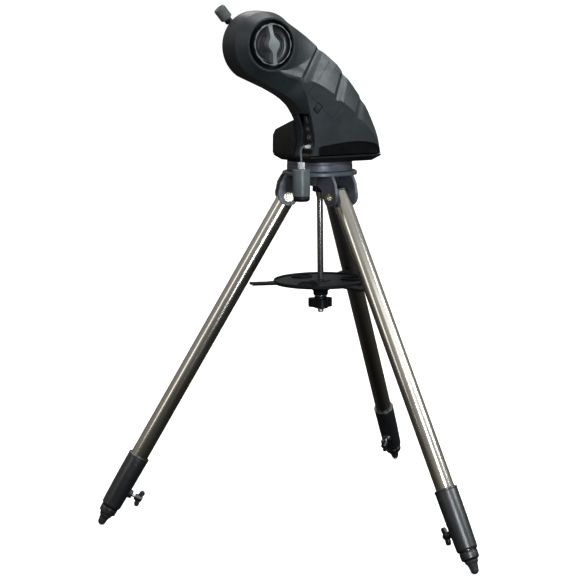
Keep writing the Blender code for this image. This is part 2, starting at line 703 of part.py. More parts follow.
def socket(name, port, hole, depth, mount):
    """A block through the panel with a blind hole that opens outwards."""
    y, z, wide, high = PORTS[port]
    wide, high = wide / 2 - GAP, high / 2 - GAP
    block = box((PANEL_X - 0.003, y - wide, z - high), (PANEL_X + 0.0125, y + wide, z + high))
    block = piece(name, block, "black_plastic", mount)
    outwards = frame_at((PANEL_X - 0.004 + depth, y, z), (-1, 0, 0), (0, 1, 0))
    cut(block, helper(name + "_hole", hole, mount, outwards))


def sockets(mount):
    socket("remote_jack", "remote", rod(0.0014, 0, 0.02, 12), 0.012, mount)
    socket("power_jack", "power", pipe(0.0032, 0.0011, 0, 0.02, 16), 0.012, mount)
    socket("hand_control_socket", "control", box((-0.0038, -0.0034, 0), (0.0038, 0.0034, 0.02)), 0.012, mount)


def circuit_board(mount):
    piece("circuit_board", box((-0.036, -0.0346, 0.6745), (0.060, -0.0330, 0.7200)), "circuit_green", mount)


# Altitude drive and saddle

def hub_frame(mount):
    """Z points out of the arm's outer face, along the altitude axis."""
    return empty("hub_frame", mount, frame_at((HUB_X, 0, HUB_Z), (0, -1, 0), (1, 0, 0)))


def altitude_drive(hub):
    piece("altitude_shaft", rod(SHAFT_RADIUS, 0.0068, 0.0652, 24), "polished_steel", hub)
    piece("altitude_bearing", turned([
        (SHAFT_RADIUS + 0.0003, 0.0080), (0.0164, 0.0080), (0.0164, 0.0150), (0.0195, 0.0150), (0.0195, 0.0175),
        (SHAFT_RADIUS + 0.0003, 0.0175),
    ], 24), "brass", hub)
    worm_wheel("altitude_worm_wheel", ALTITUDE_WHEEL_RADIUS, SHAFT_RADIUS + 0.0003, 0.0430, 0.0500, hub)
    out = ALTITUDE_WHEEL_RADIUS + WORM_RADIUS + GAP
    side, run = Vector((1, 1, 0)).normalized(), Vector((1, -1, 0)).normalized()
    centre = side * out + Vector((0, 0, 0.0465))
    worm("altitude_worm", 0.024, hub, frame_at(centre, run, side))
    motor("altitude_motor", hub, frame_at(centre + run * (0.0120 + GAP), run, side))


def clutch_knob(hub):
    """A cup with a bar across it, for finger and thumb."""
    back, front, floor = 0.0660, -KNOB_FRONT_Y, 0.0695
    inner = KNOB_RADIUS - 0.0030
    knob = piece("clutch_knob", turned([
        (0, back), (KNOB_RADIUS - 0.002, back), (KNOB_RADIUS, back + 0.002), (KNOB_RADIUS, front - 0.001),
        (KNOB_RADIUS - 0.001, front), (inner, front), (inner, floor), (0, floor),
    ], 36), "black_plastic", hub)
    half = inner + 0.001
    bar = [(-half, -0.0030), (-0.010, -0.0042), (0.010, -0.0042), (half, -0.0030)]
    bar += [(x, -y) for x, y in reversed(bar)]
    upright = Matrix.Rotation(math.radians(92), 4, "Z")
    fuse(knob, helper("clutch_bar", prism(bar, floor - 0.001, front - 0.0006), hub, upright))
    fuse(knob, helper("clutch_boss", rod(0.0098, floor - 0.001, front - 0.0004, 24), hub))


def saddle_frame(mount):
    """X along the dovetail channel, Y towards the clamp screw, Z away from the arm."""
    along_channel = (math.cos(CHANNEL_ANGLE), 0, math.sin(CHANNEL_ANGLE))
    turned_frame = frame_at((HUB_X, 0, HUB_Z), (0, 1, 0), along_channel)
    if turned_frame.col[1].to_3d().z < 0:
        turned_frame = turned_frame @ Matrix.Rotation(math.pi, 4, "Z")
    return empty("saddle_frame", mount, turned_frame)


def across_channel(section, length):
    """A solid along the channel from a (y, z) section."""
    half = length / 2
    bm = bmesh.new()
    ends = [[bm.verts.new((x, y, z)) for y, z in section] for x in (-half, half)]
    for ring in ends:
        bm.faces.new(ring)
    for i in range(len(section)):
        j = (i + 1) % len(section)
        bm.faces.new((ends[0][i], ends[0][j], ends[1][j], ends[1][i]))
    return bm


def saddle(frame):
    """A dovetail channel: a fixed wall with a relief groove at its foot, a wall for the screw, and a jaw between."""
    relief = CHANNEL_FLOOR - 0.0008
    block = across_channel([
        (-0.036, 0.000), (0.038, 0.000), (0.038, SADDLE_TOP), (0.032, SADDLE_TOP), (0.032, CHANNEL_FLOOR),
        (-0.0208, CHANNEL_FLOOR), (-0.0208, relief), (-0.0222, relief), (-0.0185, SADDLE_TOP), (-0.036, SADDLE_TOP),
    ], SADDLE_LENGTH)
    plate = piece("saddle_plate", block, "black_casting", frame)
    combine(plate, helper("saddle_round", rod(SADDLE_RADIUS, -0.010, 0.030, 36), frame), "INTERSECT")
    fuse(plate, helper("saddle_disc", rod(0.0385, -0.0066, 0.0015, 32), frame))
    outwards = frame_at((0, 0, SCREW_LEVEL), (0, 1, 0), (1, 0, 0))
    cut(plate, helper("screw_hole", rod(0.0045, 0.028, 0.045), frame, outwards))
    low, high = CHANNEL_FLOOR + GAP, SADDLE_TOP - 0.0005
    jaw = across_channel([(0.0220, low), (0.0270, low), (0.0270, high), (0.0185, high)], JAW_LENGTH)
    piece("saddle_jaw", jaw, "black_casting", frame)
    piece("saddle_screw", turned([
        (0, 0.0270 + GAP), (0.0040, 0.0270 + GAP), (0.0040, 0.0520), (0.0065, 0.0530), (0.0065, 0.0575),
        (0.0107, 0.0585), (0.0107, 0.0795), (0.0095, 0.0810), (0, 0.0810),
    ]), "black_plastic", frame, outwards)


# Adapter on its cord

def cord_route():
    """From the plug in the hand-control socket, out, down and into the adapter's plug."""
    y, z = PORTS["control"][:2]
    start = PANEL_X - 0.0135
    return [
        (start, y, z), (start - 0.0020, y, z), (start - 0.0050, y - 0.0016, z - 0.0010),
        (-0.0752, -0.0690, 0.6740), (-0.0785, -0.0745, 0.6685), (-0.0806, -0.0790, 0.6630),
        (ADAPTER_X, ADAPTER_Y, 0.6580), (ADAPTER_X, ADAPTER_Y, 0.6546),
    ]


def cord(mount):
    data = bpy.data.curves.new("adapter_cord", "CURVE")
    data.dimensions = "3D"
    points = curve_through(cord_route(), 2)
    spline = data.splines.new("POLY")
    spline.points.add(len(points) - 1)
    for point, place in zip(spline.points, points):
        point.co = (*place, 1.0)
    data.bevel_depth = CORD_RADIUS
    data.bevel_resolution = 2
    data.use_fill_caps = True
    data.materials.append(material("adapter_cord", "grey_cord"))
    made = bpy.data.objects.new("adapter_cord", data)
    bpy.context.scene.collection.objects.link(made)
    made.parent = mount


def cord_plugs(mount):
    y, z = PORTS["control"][:2]
    outer = PANEL_X - 0.0135 + 0.0003
    upper = box((outer, y - 0.0031, z - 0.0027), (PANEL_X + 0.006, y + 0.0031, z + 0.0027))
    piece("control_plug", upper, "clear_plastic", mount)
    x, y = ADAPTER_X, ADAPTER_Y
    lower = box((x - 0.0048, y - 0.0036, ADAPTER_TOP + GAP), (x + 0.0048, y + 0.0036, 0.6542))
    piece("adapter_plug", lower, "clear_plastic", mount)


def adapter(mount):
    """A small round radio unit that hangs from the cord."""
    place = Matrix.Translation((ADAPTER_X, ADAPTER_Y, 0))
    low = ADAPTER_BOTTOM + 0.006
    piece("adapter_body", turned([
        (0, low), (0.0130, low), (ADAPTER_RADIUS, low + 0.0005), (ADAPTER_RADIUS, ADAPTER_TOP - 0.002),
        (ADAPTER_RADIUS - 0.002, ADAPTER_TOP), (0, ADAPTER_TOP),
    ], 24), "charcoal_plastic", mount, place)
    piece("adapter_cap", turned([
        (0, ADAPTER_BOTTOM), (0.0115, ADAPTER_BOTTOM), (0.0135, ADAPTER_BOTTOM + 0.002), (0.0140, low - GAP),
        (0, low - GAP),
    ], 24), "black_plastic", mount, place)


def main():
    clear_scene()
    stand = empty("stand_frame", None, Matrix.Translation((0, AXIS_Y, 0)))
    mount = empty("mount_frame", stand, Matrix.Rotation(MOUNT_TURN, 4, "Z"))
    tripod_head(stand)
    legs(stand)
    centre_rod(stand)
    rod_hand_nut(stand)
    accessory_tray(stand)
    tray_washer(stand)
    tray_knob(stand)
    turntable(stand)
    azimuth_drive(mount)
    base_floor(mount)
    base_housing(mount)
    arm_outer_shell(mount)
    arm_inner_shell(mount)
    battery_door(mount)
    battery_holder(mount)
    port_panel(mount)
    power_switch(mount)
    sockets(mount)
    circuit_board(mount)
    hub = hub_frame(mount)
    altitude_drive(hub)
    clutch_knob(hub)
    saddle(saddle_frame(mount))
    cord(mount)
    cord_plugs(mount)
    adapter(mount)


main()
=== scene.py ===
"""The telescope mount on its tripod: every visible surface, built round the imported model.

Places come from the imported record: each local frame is a joint's axis.
The mount frame turns with the azimuth axis: its X runs along the arm's width, -Y is the arm's outer side.
Each leg frame sits on its hinge pin, +Z up along the leg and +X square to the leg and outwards.
"""

import json
import math

import bmesh
import bpy
import numpy as np
from mathutils import Matrix, Vector
from mathutils.geometry import delaunay_2d_cdt


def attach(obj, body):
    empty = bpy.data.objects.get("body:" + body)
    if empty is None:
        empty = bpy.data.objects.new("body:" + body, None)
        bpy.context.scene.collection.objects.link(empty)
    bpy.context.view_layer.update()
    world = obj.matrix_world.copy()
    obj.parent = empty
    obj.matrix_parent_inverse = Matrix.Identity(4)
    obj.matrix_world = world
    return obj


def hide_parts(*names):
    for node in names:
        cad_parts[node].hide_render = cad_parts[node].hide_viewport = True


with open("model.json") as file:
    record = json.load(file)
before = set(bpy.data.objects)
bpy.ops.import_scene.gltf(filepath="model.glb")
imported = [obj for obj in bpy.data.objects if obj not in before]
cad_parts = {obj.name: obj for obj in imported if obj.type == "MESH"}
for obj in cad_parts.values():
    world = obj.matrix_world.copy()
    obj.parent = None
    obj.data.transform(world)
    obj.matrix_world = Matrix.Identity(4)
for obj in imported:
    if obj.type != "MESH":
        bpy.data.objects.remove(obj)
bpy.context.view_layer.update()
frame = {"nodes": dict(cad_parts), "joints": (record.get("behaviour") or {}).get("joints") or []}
JOINTS = {joint["name"]: joint for joint in frame["joints"]}
LEGS = ("front", "right", "left")
UP = Vector((0, 0, 1))

GAP = 0.0004

# Stand
LEG_LENGTH = 0.6827
TUBE_RADIUS = 0.015875
TUBE_TOP = 0.007
COLLAR_TOP, COLLAR_STEP, COLLAR_BOTTOM = 0.147, 0.084, 0.041
COLLAR_RADIUS = 0.01975
LOCK_HEIGHT = 0.076
INNER_TUBE_RADIUS = 0.0127
FOOT_TOP = 0.0240
PIVOT_RADIUS, PIVOT_HEIGHT = 0.058, 0.5875
FLANGE_RADIUS, FLANGE_BOTTOM, FLANGE_TOP = 0.0662, 0.6242, 0.6318
EAR_INNER, EAR_OUTER = 0.019, 0.025
PIN_RADIUS = 0.0038
ROD_RADIUS = 0.0055
TRAY_TOP, TRAY_RADIUS, TRAY_ARM_REACH = 0.434, 0.084, 0.1293
EYEPIECE_CIRCLE, EYEPIECE_RADIUS = 0.056, 0.0162

# Mount
TURNTABLE_RADIUS, TURNTABLE_TOP = 0.058, 0.6494
FLOOR_BOTTOM, SEAM = 0.650, 0.661
FACE_Y, SHOULDER_Y, PARTING_Y, ARM_BACK_Y = -0.075, -0.0585, -0.026, -0.012
BASE_LEFT_X, BASE_RIGHT_X, BASE_BACK_Y = -0.062, 0.088, 0.062
HUB_X, HUB_Z = -0.1317, 0.8511
BODY_X, BODY_Z = -0.1344, 0.8490
BODY_RADIUS, SHOULDER_RADIUS, RING_RADIUS = 0.0593, 0.0568, 0.0445
RECESS_RADIUS, RECESS_FLOOR_Y = 0.0415, -0.0625
KNOB_RADIUS, KNOB_INNER, KNOB_BACK, KNOB_FRONT, KNOB_FLOOR = 0.035, 0.0324, 0.066, 0.080, 0.0685
SCALLOPS, SCALLOP_DEPTH = 12, 0.0009
DOOR_X, DOOR_Z = -0.016, 0.7728
DOOR_LENGTH, DOOR_WIDTH = 0.064, 0.070
PANEL_X = -0.052
CHANNEL_FLOOR, SADDLE_TOP, SADDLE_RADIUS = 0.010, 0.022, 0.041
SADDLE_LENGTH, JAW_LENGTH, SCREW_LEVEL = 0.064, 0.048, 0.016
CELL_RADIUS, CELL_LENGTH, CELL_LEVEL = 0.00705, 0.0500, -0.0082
CORD_RADIUS = 0.0018
ADAPTER_X, ADAPTER_Y = -0.0815, -0.0815
ADAPTER_RADIUS, ADAPTER_BOTTOM, ADAPTER_TOP = 0.0147, 0.5875, 0.6425
PORTS = {  # centre y, centre z, width and height of each cut-out in the port panel
    "switch": (-0.0520, 0.7240, 0.0106, 0.0164),
    "remote": (-0.0560, 0.7080, 0.0080, 0.0080),
    "power": (-0.0600, 0.6945, 0.0106, 0.0106),
    "control": (-0.0635, 0.6785, 0.0116, 0.0116),
}


# Frames

def frame_at(origin, z_axis, x_axis):
    """A placement whose Z points along z_axis and whose X is as near x_axis as it can be."""
    z = Vector(z_axis).normalized()
    x = Vector(x_axis)
    x = (x - x.dot(z) * z).normalized()
    placed = Matrix((x, z.cross(x), z)).transposed().to_4x4()
    placed.translation = Vector(origin)
    return placed


def axis_of(joint):
    return Vector(JOINTS[joint]["axis"])


def place_of(joint):
    return Vector(JOINTS[joint]["pos_m"])


def leg_frame(leg):
    up = -axis_of(leg + "_leg_extend")
    return frame_at(place_of(leg + "_leg_fold"), up, axis_of(leg + "_leg_fold").cross(up))


OUT = axis_of("altitude")
STAND = Matrix.Translation(place_of("azimuth") * Vector((1, 1, 0)))
MOUNT = frame_at(STAND.translation, UP, UP.cross(OUT))
HUB = frame_at(place_of("altitude"), OUT, MOUNT.col[0].to_3d())
SADDLE = frame_at(place_of("altitude"), -OUT, axis_of("jaw_slide").cross(-OUT))
DOOR = MOUNT @ frame_at((DOOR_X, -0.045, DOOR_Z), (0, -1, 0), (1, 0, -1))
PLACES = {  # the frame in which each body's pieces are drawn, unless a piece gives its own
    "tripod": STAND, "tray": STAND, "tray_nut": STAND, "mount_bolt": STAND, "mount": MOUNT, "door": DOOR,
    "jaw": SADDLE, "altitude": SADDLE, "clutch": HUB,
}


# Camera, light and floor

LENS, SENSOR = 92.366, 36
CAMERA_PLACE = (-1.6082, -1.9776, 0.8446)
CAMERA_TURN = (1.4099, 0.0114, -0.6396)
LIT_POINT = (0, 0.1, 0.6)
WHITE = (1, 1, 1)
ROOM = [  # the room's light, from straight down to straight up
    (-1.0, (0.004, 0.004, 0.004)), (-0.2, (0.045, 0.043, 0.038)), (0.0, (0.085, 0.080, 0.060)),
    (0.15, (0.20, 0.19, 0.165)), (0.5, (0.32, 0.32, 0.31)), (1.0, (0.45, 0.45, 0.45)),
]
SOFTBOXES = [  # name, place, width, height, power and colour
    ("key", (1.27, -1.68, 1.8), 0.8, 0.8, 24, (0.90, 1.0, 1.01)),
    ("front", (-1.0, -2.1, 0.95), 0.45, 1.5, 32, (0.90, 0.98, 1.06)),
    ("canopy", (-0.25, -2.0, 2.15), 2.6, 0.7, 6, WHITE),
    ("left", (-2.1, 0.2, 1.3), 0.5, 1.6, 4, WHITE),
    ("back", (1.0, 2.0, 2.6), 1.0, 1.0, 14, WHITE),
]
SUN_POWER, SUN_ANGLE, SUN_TURN = 1.6, 50, (-8, 8, 0)


def linked(name, data):
    """A new object in the scene."""
    made = bpy.data.objects.new(name, data)
    bpy.context.scene.collection.objects.link(made)
    return made


def camera():
    data = bpy.data.cameras.new("camera")
    data.lens = LENS
    data.sensor_width = SENSOR
    data.sensor_fit = "HORIZONTAL"
    made = linked("camera", data)
    made.location = CAMERA_PLACE
    made.rotation_euler = CAMERA_TURN
    bpy.context.scene.camera = made


def softbox(name, place, width, height, power, colour):
    data = bpy.data.lights.new(name, "AREA")
    data.shape = "RECTANGLE"
    data.size, data.size_y = width, height
    data.energy = power
    data.color = colour
    made = linked(name, data)
    made.location = place
    made.rotation_euler = (Vector(LIT_POINT) - Vector(place)).to_track_quat("-Z", "Y").to_euler()


def put(node, **values):
    """Puts values on a node's sockets, whose names have a space for each underscore."""
    for socket, value in values.items():
        node.inputs[socket.replace("_", " ")].default_value = value


def fill_ramp(ramp, stops):
    while len(ramp.elements) < len(stops):
        ramp.elements.new(0.5)
    for element, (position, colour) in zip(ramp.elements, stops):
        element.position = position
        element.color = (*colour, 1)


def backdrop_and_room():
    """A backdrop that is white to the camera, in a dim room that is darker below than above."""
    world = bpy.data.worlds.new("studio")
    bpy.context.scene.world = world
    world.use_nodes = True
    tree = world.node_tree
    room = tree.nodes["Background"]
    direction = tree.nodes.new("ShaderNodeTexCoord")
    split = tree.nodes.new("ShaderNodeSeparateXYZ")
    height = tree.nodes.new("ShaderNodeMapRange")
    put(height, From_Min=-1)
    ramp = tree.nodes.new("ShaderNodeValToRGB")
    fill_ramp(ramp.color_ramp, [((level + 1) / 2, colour) for level, colour in ROOM])
    backdrop = tree.nodes.new("ShaderNodeBackground")
    put(backdrop, Color=(1, 1, 1, 1), Strength=1.05)
    seen = tree.nodes.new("ShaderNodeLightPath")
    mixed = tree.nodes.new("ShaderNodeMixShader")
    tree.links.new(direction.outputs["Generated"], split.inputs[0])
    tree.links.new(split.outputs["Z"], height.inputs["Value"])
    tree.links.new(height.outputs["Result"], ramp.inputs["Fac"])
    tree.links.new(ramp.outputs["Color"], room.inputs["Color"])
    tree.links.new(seen.outputs["Is Camera Ray"], mixed.inputs["Fac"])
    tree.links.new(room.outputs[0], mixed.inputs[1])
    tree.links.new(backdrop.outputs[0], mixed.inputs[2])
    tree.links.new(mixed.outputs[0], tree.nodes["World Output"].inputs["Surface"])


def studio():
    """Softboxes round the object and a soft overhead light."""
    backdrop_and_room()
    for box in SOFTBOXES:
        softbox(*box)
    overhead = bpy.data.lights.new("overhead", "SUN")
    overhead.energy = SUN_POWER
    overhead.angle = math.radians(SUN_ANGLE)
    linked("overhead", overhead).rotation_euler = [math.radians(turn) for turn in SUN_TURN]
    bpy.context.scene.view_settings.view_transform = "Standard"


def floor():
    """A pale floor that pieces neither mirror nor take light from."""
    bm = bmesh.new()
    bmesh.ops.create_circle(bm, cap_ends=True, segments=64, radius=30)
    mesh = bpy.data.meshes.new("floor")
    bm.to_mesh(mesh)
    bm.free()
    made = linked("floor", mesh)
    made.location.z = -0.0003
    made.visible_diffuse = False
    made.visible_glossy = False
    look = bpy.data.materials.new("floor")
    look.use_nodes = True
    put(look.node_tree.nodes["Principled BSDF"], Base_Color=(0.86, 0.86, 0.86, 1), Roughness=1.0,
        Emission_Color=(1, 1, 1, 1), Emission_Strength=0.6)
    mesh.materials.append(look)


# Mesh tools

def rounded(outline, radius, closed=True, steps=4, least=20.0):
    """The outline with an arc at each corner that turns by more than least degrees."""
    points = [Vector(p) for p in outline]
    found = []
    for i, corner in enumerate(points):
        if not closed and i in (0, len(points) - 1):
            found.append(tuple(corner))
            continue
        before, after = points[i - 1] - corner, points[(i + 1) % len(points)] - corner
        turn = math.pi - before.angle(after, math.pi)
        if turn < math.radians(least):
            found.append(tuple(corner))
            continue
        reach = min(radius * math.tan(turn / 2), 0.45 * before.length, 0.45 * after.length)
        start, end = corner + before.normalized() * reach, corner + after.normalized() * reach
        for k in range(steps + 1):
            t = k / steps
            found.append(tuple((1 - t) ** 2 * start + 2 * t * (1 - t) * corner + t**2 * end))
    return found


def arc(centre, radius, start, end, steps):
    """Points on an arc, angles in degrees."""
    angles = [math.radians(start + (end - start) * i / steps) for i in range(steps + 1)]
    return [(centre[0] + radius * math.cos(a), centre[1] + radius * math.sin(a)) for a in angles]


def curve_through(points, steps):
    """A smooth curve through the points, with this many steps between each two (Catmull-Rom)."""
    known = [Vector(p) for p in points]
    known = [2 * known[0] - known[1], *known, 2 * known[-1] - known[-2]]
    found = []
    for a, b, c, d in zip(known, known[1:], known[2:], known[3:]):
        for i in range(steps):
            t = i / steps
            found.append(0.5 * (2 * b + (c - a) * t + (2 * a - 5 * b + 4 * c - d) * t**2
                                + (3 * b - a - 3 * c + d) * t**3))
    return [tuple(p) for p in found] + [tuple(known[-2])]


def turned(profile, fillet=0.0004, segments=96, bm=None, place=None):
    """A solid turned about Z; the profile starts and ends on the axis, or is a closed ring."""
    bm = bm or bmesh.new()
    place = place or Matrix.Identity(4)
    on_axis = profile[0][0] == 0
    if fillet:
        profile = rounded(profile, fillet, closed=not on_axis)
    rings = []
    for radius, height in profile:
        count = segments if radius > 1e-9 else 1
        turn = math.tau / segments
        rings.append([
            bm.verts.new(place @ Vector((radius * math.cos(i * turn), radius * math.sin(i * turn), height)))
            for i in range(count)
        ])
    for low, high in zip(rings, rings[1:] + ([] if on_axis else rings[:1])):
        for i in range(segments):
            j = (i + 1) % segments
            corners = (low[i % len(low)], low[j % len(low)], high[j % len(high)], high[i % len(high)])
            bm.faces.new(list(dict.fromkeys(corners)))
    return bm


def pipe(inner, outer, low, high, fillet=0.0004, segments=96, bm=None, place=None):
    """A turned ring with a plain section, or a cylinder if its inner radius is 0."""
    return turned([(inner, low), (outer, low), (outer, high), (inner, high)], fillet, segments, bm, place)


def screw_head(radius, top, chamfer, bm=None, place=None, depth=0.001):
    """The head of a small screw, sunk a little in its seat."""
    flat, rise = chamfer
    profile = [(0, -depth), (radius, -depth), (radius, rise), (flat, top), (0, top)]
    return turned(profile, 0.0002, 32, bm, place)


def lobed(radius_at, steps):
    """A closed outline round the origin, from its radius at each angle."""
    turns = [math.tau * i / steps for i in range(steps)]
    return [(radius_at(angle) * math.cos(angle), radius_at(angle) * math.sin(angle)) for angle in turns]


def prism(outline, low, high, bm=None, place=None):
    """A solid between two heights, from an outline of (x, y) points."""
    bm = bm or bmesh.new()
    place = place or Matrix.Identity(4)
    bottom = [bm.verts.new(place @ Vector((x, y, low))) for x, y in outline]
    top = [bm.verts.new(place @ Vector((x, y, high))) for x, y in outline]
    bm.faces.new(bottom)
    bm.faces.new(top)
    for i in range(len(outline)):
        j = (i + 1) % len(outline)
        bm.faces.new((bottom[i], bottom[j], top[j], top[i]))
    return bm


def block(low, high, bm=None, place=None):
    outline = [(low[0], low[1]), (high[0], low[1]), (high[0], high[1]), (low[0], high[1])]
    return prism(outline, low[2], high[2], bm, place)


def threaded(radius, low, high, pitch=0.001, depth=0.0005):
    """The profile of a screw's outside, as rings a pitch apart."""
    profile = []
    for i in range(int((high - low) / pitch)):
        profile += [(radius, low + i * pitch), (radius - depth, low + (i + 0.5) * pitch)]
    return profile + [(radius, high)]


def show(name, bm, look, body, place=None, slot=None, replaced=(), bevel=0.0, segments=2, sharp=30.0,
         outward=None):
    """Makes the mesh a piece of the object: placed, shaded, riding on a body and standing for CAD nodes."""
    bmesh.ops.recalc_face_normals(bm, faces=bm.faces)
    if outward:
        facing = sum((face.normal * face.calc_area() for face in bm.faces), Vector())
        if facing.dot(Vector(outward)) < 0:
            bmesh.ops.reverse_faces(bm, faces=bm.faces)
    mesh = bpy.data.meshes.new(name)
    bm.to_mesh(mesh)
    bm.free()
    mesh.shade_smooth()
    mesh.set_sharp_from_angle(angle=math.radians(sharp))
    mesh.materials.append(LOOKS[look])
    made = linked(name, mesh)
    made.matrix_world = place or PLACES[body]
    if bevel:
        soften(made, bevel, segments, sharp, True)
    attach(made, body)
    if replaced:
        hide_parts(*replaced)
    return made


def soften(made, width, segments, sharp, harden):
    """Rounds the edges that are sharper than an angle in degrees."""
    edges = made.modifiers.new("edges", "BEVEL")
    edges.width = width
    edges.segments = segments
    edges.limit_method = "ANGLE"
    edges.angle_limit = math.radians(sharp)
    edges.harden_normals = harden


def applied(made):
    """Makes the object's mesh what its modifiers give."""
    bpy.context.view_layer.update()
    graph = bpy.context.evaluated_depsgraph_get()
    mesh = bpy.data.meshes.new_from_object(made.evaluated_get(graph))
    made.modifiers.clear()
    made.data = mesh


def cut(made, bm, place=None, operation="DIFFERENCE", solver="EXACT"):
    """Cuts a shape out of the piece, or keeps only what lies in it."""
    bmesh.ops.recalc_face_normals(bm, faces=bm.faces)
    mesh = bpy.data.meshes.new("cutter")
    bm.to_mesh(mesh)
    bm.free()
    cutter = linked("cutter", mesh)
    cutter.matrix_world = place or Matrix.Identity(4)
    modifier = made.modifiers.new("cut", "BOOLEAN")
    modifier.operation = operation
    modifier.object = cutter
    modifier.solver = solver
    applied(made)
    bpy.data.objects.remove(cutter)
    bpy.data.meshes.remove(mesh)
    made.data.shade_smooth()
    made.data.set_sharp_from_angle(angle=math.radians(30))


# Materials

class Look:
    """A material whose colour, roughness and relief come from noise in the piece's own coordinates."""

    def __init__(self, name):
        self.material = bpy.data.materials.new(name)
        self.material.use_nodes = True
        self.tree = self.material.node_tree
        self.shader = self.tree.nodes["Principled BSDF"]
        self.place = self.node("TexCoord").outputs["Object"]
        self.relief = None

    def node(self, kind, **values):
        made = self.tree.nodes.new("ShaderNode" + kind)
        put(made, **values)
        return made

    def link(self, output, node, socket):
        self.tree.links.new(output, node.inputs[socket])

    def set(self, **values):
        put(self.shader, **values)
        return self

    def noise(self, size, detail, stretch=None):
        """Noise whose grains are about this many metres across."""
        node = self.node("TexNoise", Scale=1 / size, Detail=detail)
        place = self.place
        if stretch:
            mapping = self.node("Mapping", Scale=stretch)
            self.link(place, mapping, "Vector")
            place = mapping.outputs["Vector"]
        self.link(place, node, "Vector")
        return node.outputs["Fac"]

    def colour(self, source, dark, light):
        ramp = self.node("ValToRGB")
        fill_ramp(ramp.color_ramp, [(0.35, dark), (0.65, light)])
        self.link(source, ramp, "Fac")
        self.link(ramp.outputs["Color"], self.shader, "Base Color")

    def roughness(self, source, low, high):
        node = self.node("MapRange", From_Min=0.3, From_Max=0.7, To_Min=low, To_Max=high)
        self.link(source, node, "Value")
        self.link(node.outputs["Result"], self.shader, "Roughness")

    def bump(self, source, height, strength=1.0):
        node = self.node("Bump", Distance=height, Strength=strength)
        self.link(source, node, "Height")
        if self.relief:
            self.link(self.relief, node, "Normal")
        self.relief = node.outputs["Normal"]
        self.link(self.relief, self.shader, "Normal")


def shade(colour, factor):
    return tuple(min(1.0, c * factor) for c in colour)


def moulded(name, colour, rough=(0.38, 0.52), depth=0.00005, gloss=0.5):
    """Injection-moulded plastic with a fine spark-eroded texture and faint flow marks."""
    look = Look(name)
    look.colour(look.noise(0.035, 5), shade(colour, 0.86), shade(colour, 1.14))
    look.roughness(look.noise(0.012, 4), *rough)
    look.bump(look.noise(0.0006, 2), depth, 0.7)
    return look.set(IOR=1.5, Specular_IOR_Level=gloss).material


def cast_metal(name, colour, rough=(0.34, 0.48), metallic=0.35, gloss=0.5):
    """Die-cast metal under a satin powder coat: a faint orange-peel skin."""
    look = Look(name)
    look.colour(look.noise(0.020, 5), shade(colour, 0.85), shade(colour, 1.18))
    look.roughness(look.noise(0.006, 4), *rough)
    look.bump(look.noise(0.0022, 3), 0.00012, 0.5)
    look.bump(look.noise(0.0005, 2), 0.00003, 0.5)
    return look.set(Metallic=metallic, Specular_IOR_Level=gloss).material


def drawn_steel(name, colour=(0.70, 0.665, 0.60), rough=(0.16, 0.22)):
    """Polished tube with hairlines along it and faint handling marks."""
    look = Look(name)
    look.colour(look.noise(0.060, 4), shade(colour, 0.93), shade(colour, 1.06))
    look.roughness(look.noise(0.0012, 6, (1, 1, 0.01)), *rough)
    look.bump(look.noise(0.0005, 3, (1, 1, 0.01)), 0.000006, 0.2)
    return look.set(Metallic=1.0).material


def plated(name, dark, light):
    """Plated steel fastener: cloudy passivation and fine tool marks."""
    look = Look(name)
    look.colour(look.noise(0.003, 4), dark, light)
    look.roughness(look.noise(0.0015, 4), 0.2, 0.36)
    look.bump(look.noise(0.0004, 2), 0.00002, 0.5)
    return look.set(Metallic=1.0).material


def rubber(name):
    look = Look(name)
    look.colour(look.noise(0.006, 5), (0.010, 0.010, 0.011), (0.024, 0.024, 0.025))
    look.roughness(look.noise(0.003, 4), 0.62, 0.85)
    look.bump(look.noise(0.0007, 4), 0.00009, 0.8)
    return look.material


def clear(name):
    """Clear moulded polycarbonate, slightly milky."""
    look = Look(name)
    look.colour(look.noise(0.004, 3), (0.80, 0.83, 0.86), (0.93, 0.94, 0.95))
    look.roughness(look.noise(0.002, 3), 0.06, 0.2)
    return look.set(IOR=1.58, Transmission_Weight=0.55).material


def board(name):
    """Circuit board: solder mask with pale tracks."""
    look = Look(name)
    bricks = look.node("TexBrick", Scale=120, Mortar_Size=0.018, Color1=(0.012, 0.10, 0.045, 1),
                       Color2=(0.016, 0.14, 0.060, 1), Mortar=(0.16, 0.34, 0.14, 1))
    look.link(look.place, bricks, "Vector")
    look.link(bricks.outputs["Color"], look.shader, "Base Color")
    look.bump(bricks.outputs["Fac"], 0.00003)
    look.roughness(look.noise(0.002, 3), 0.25, 0.4)
    return look.material


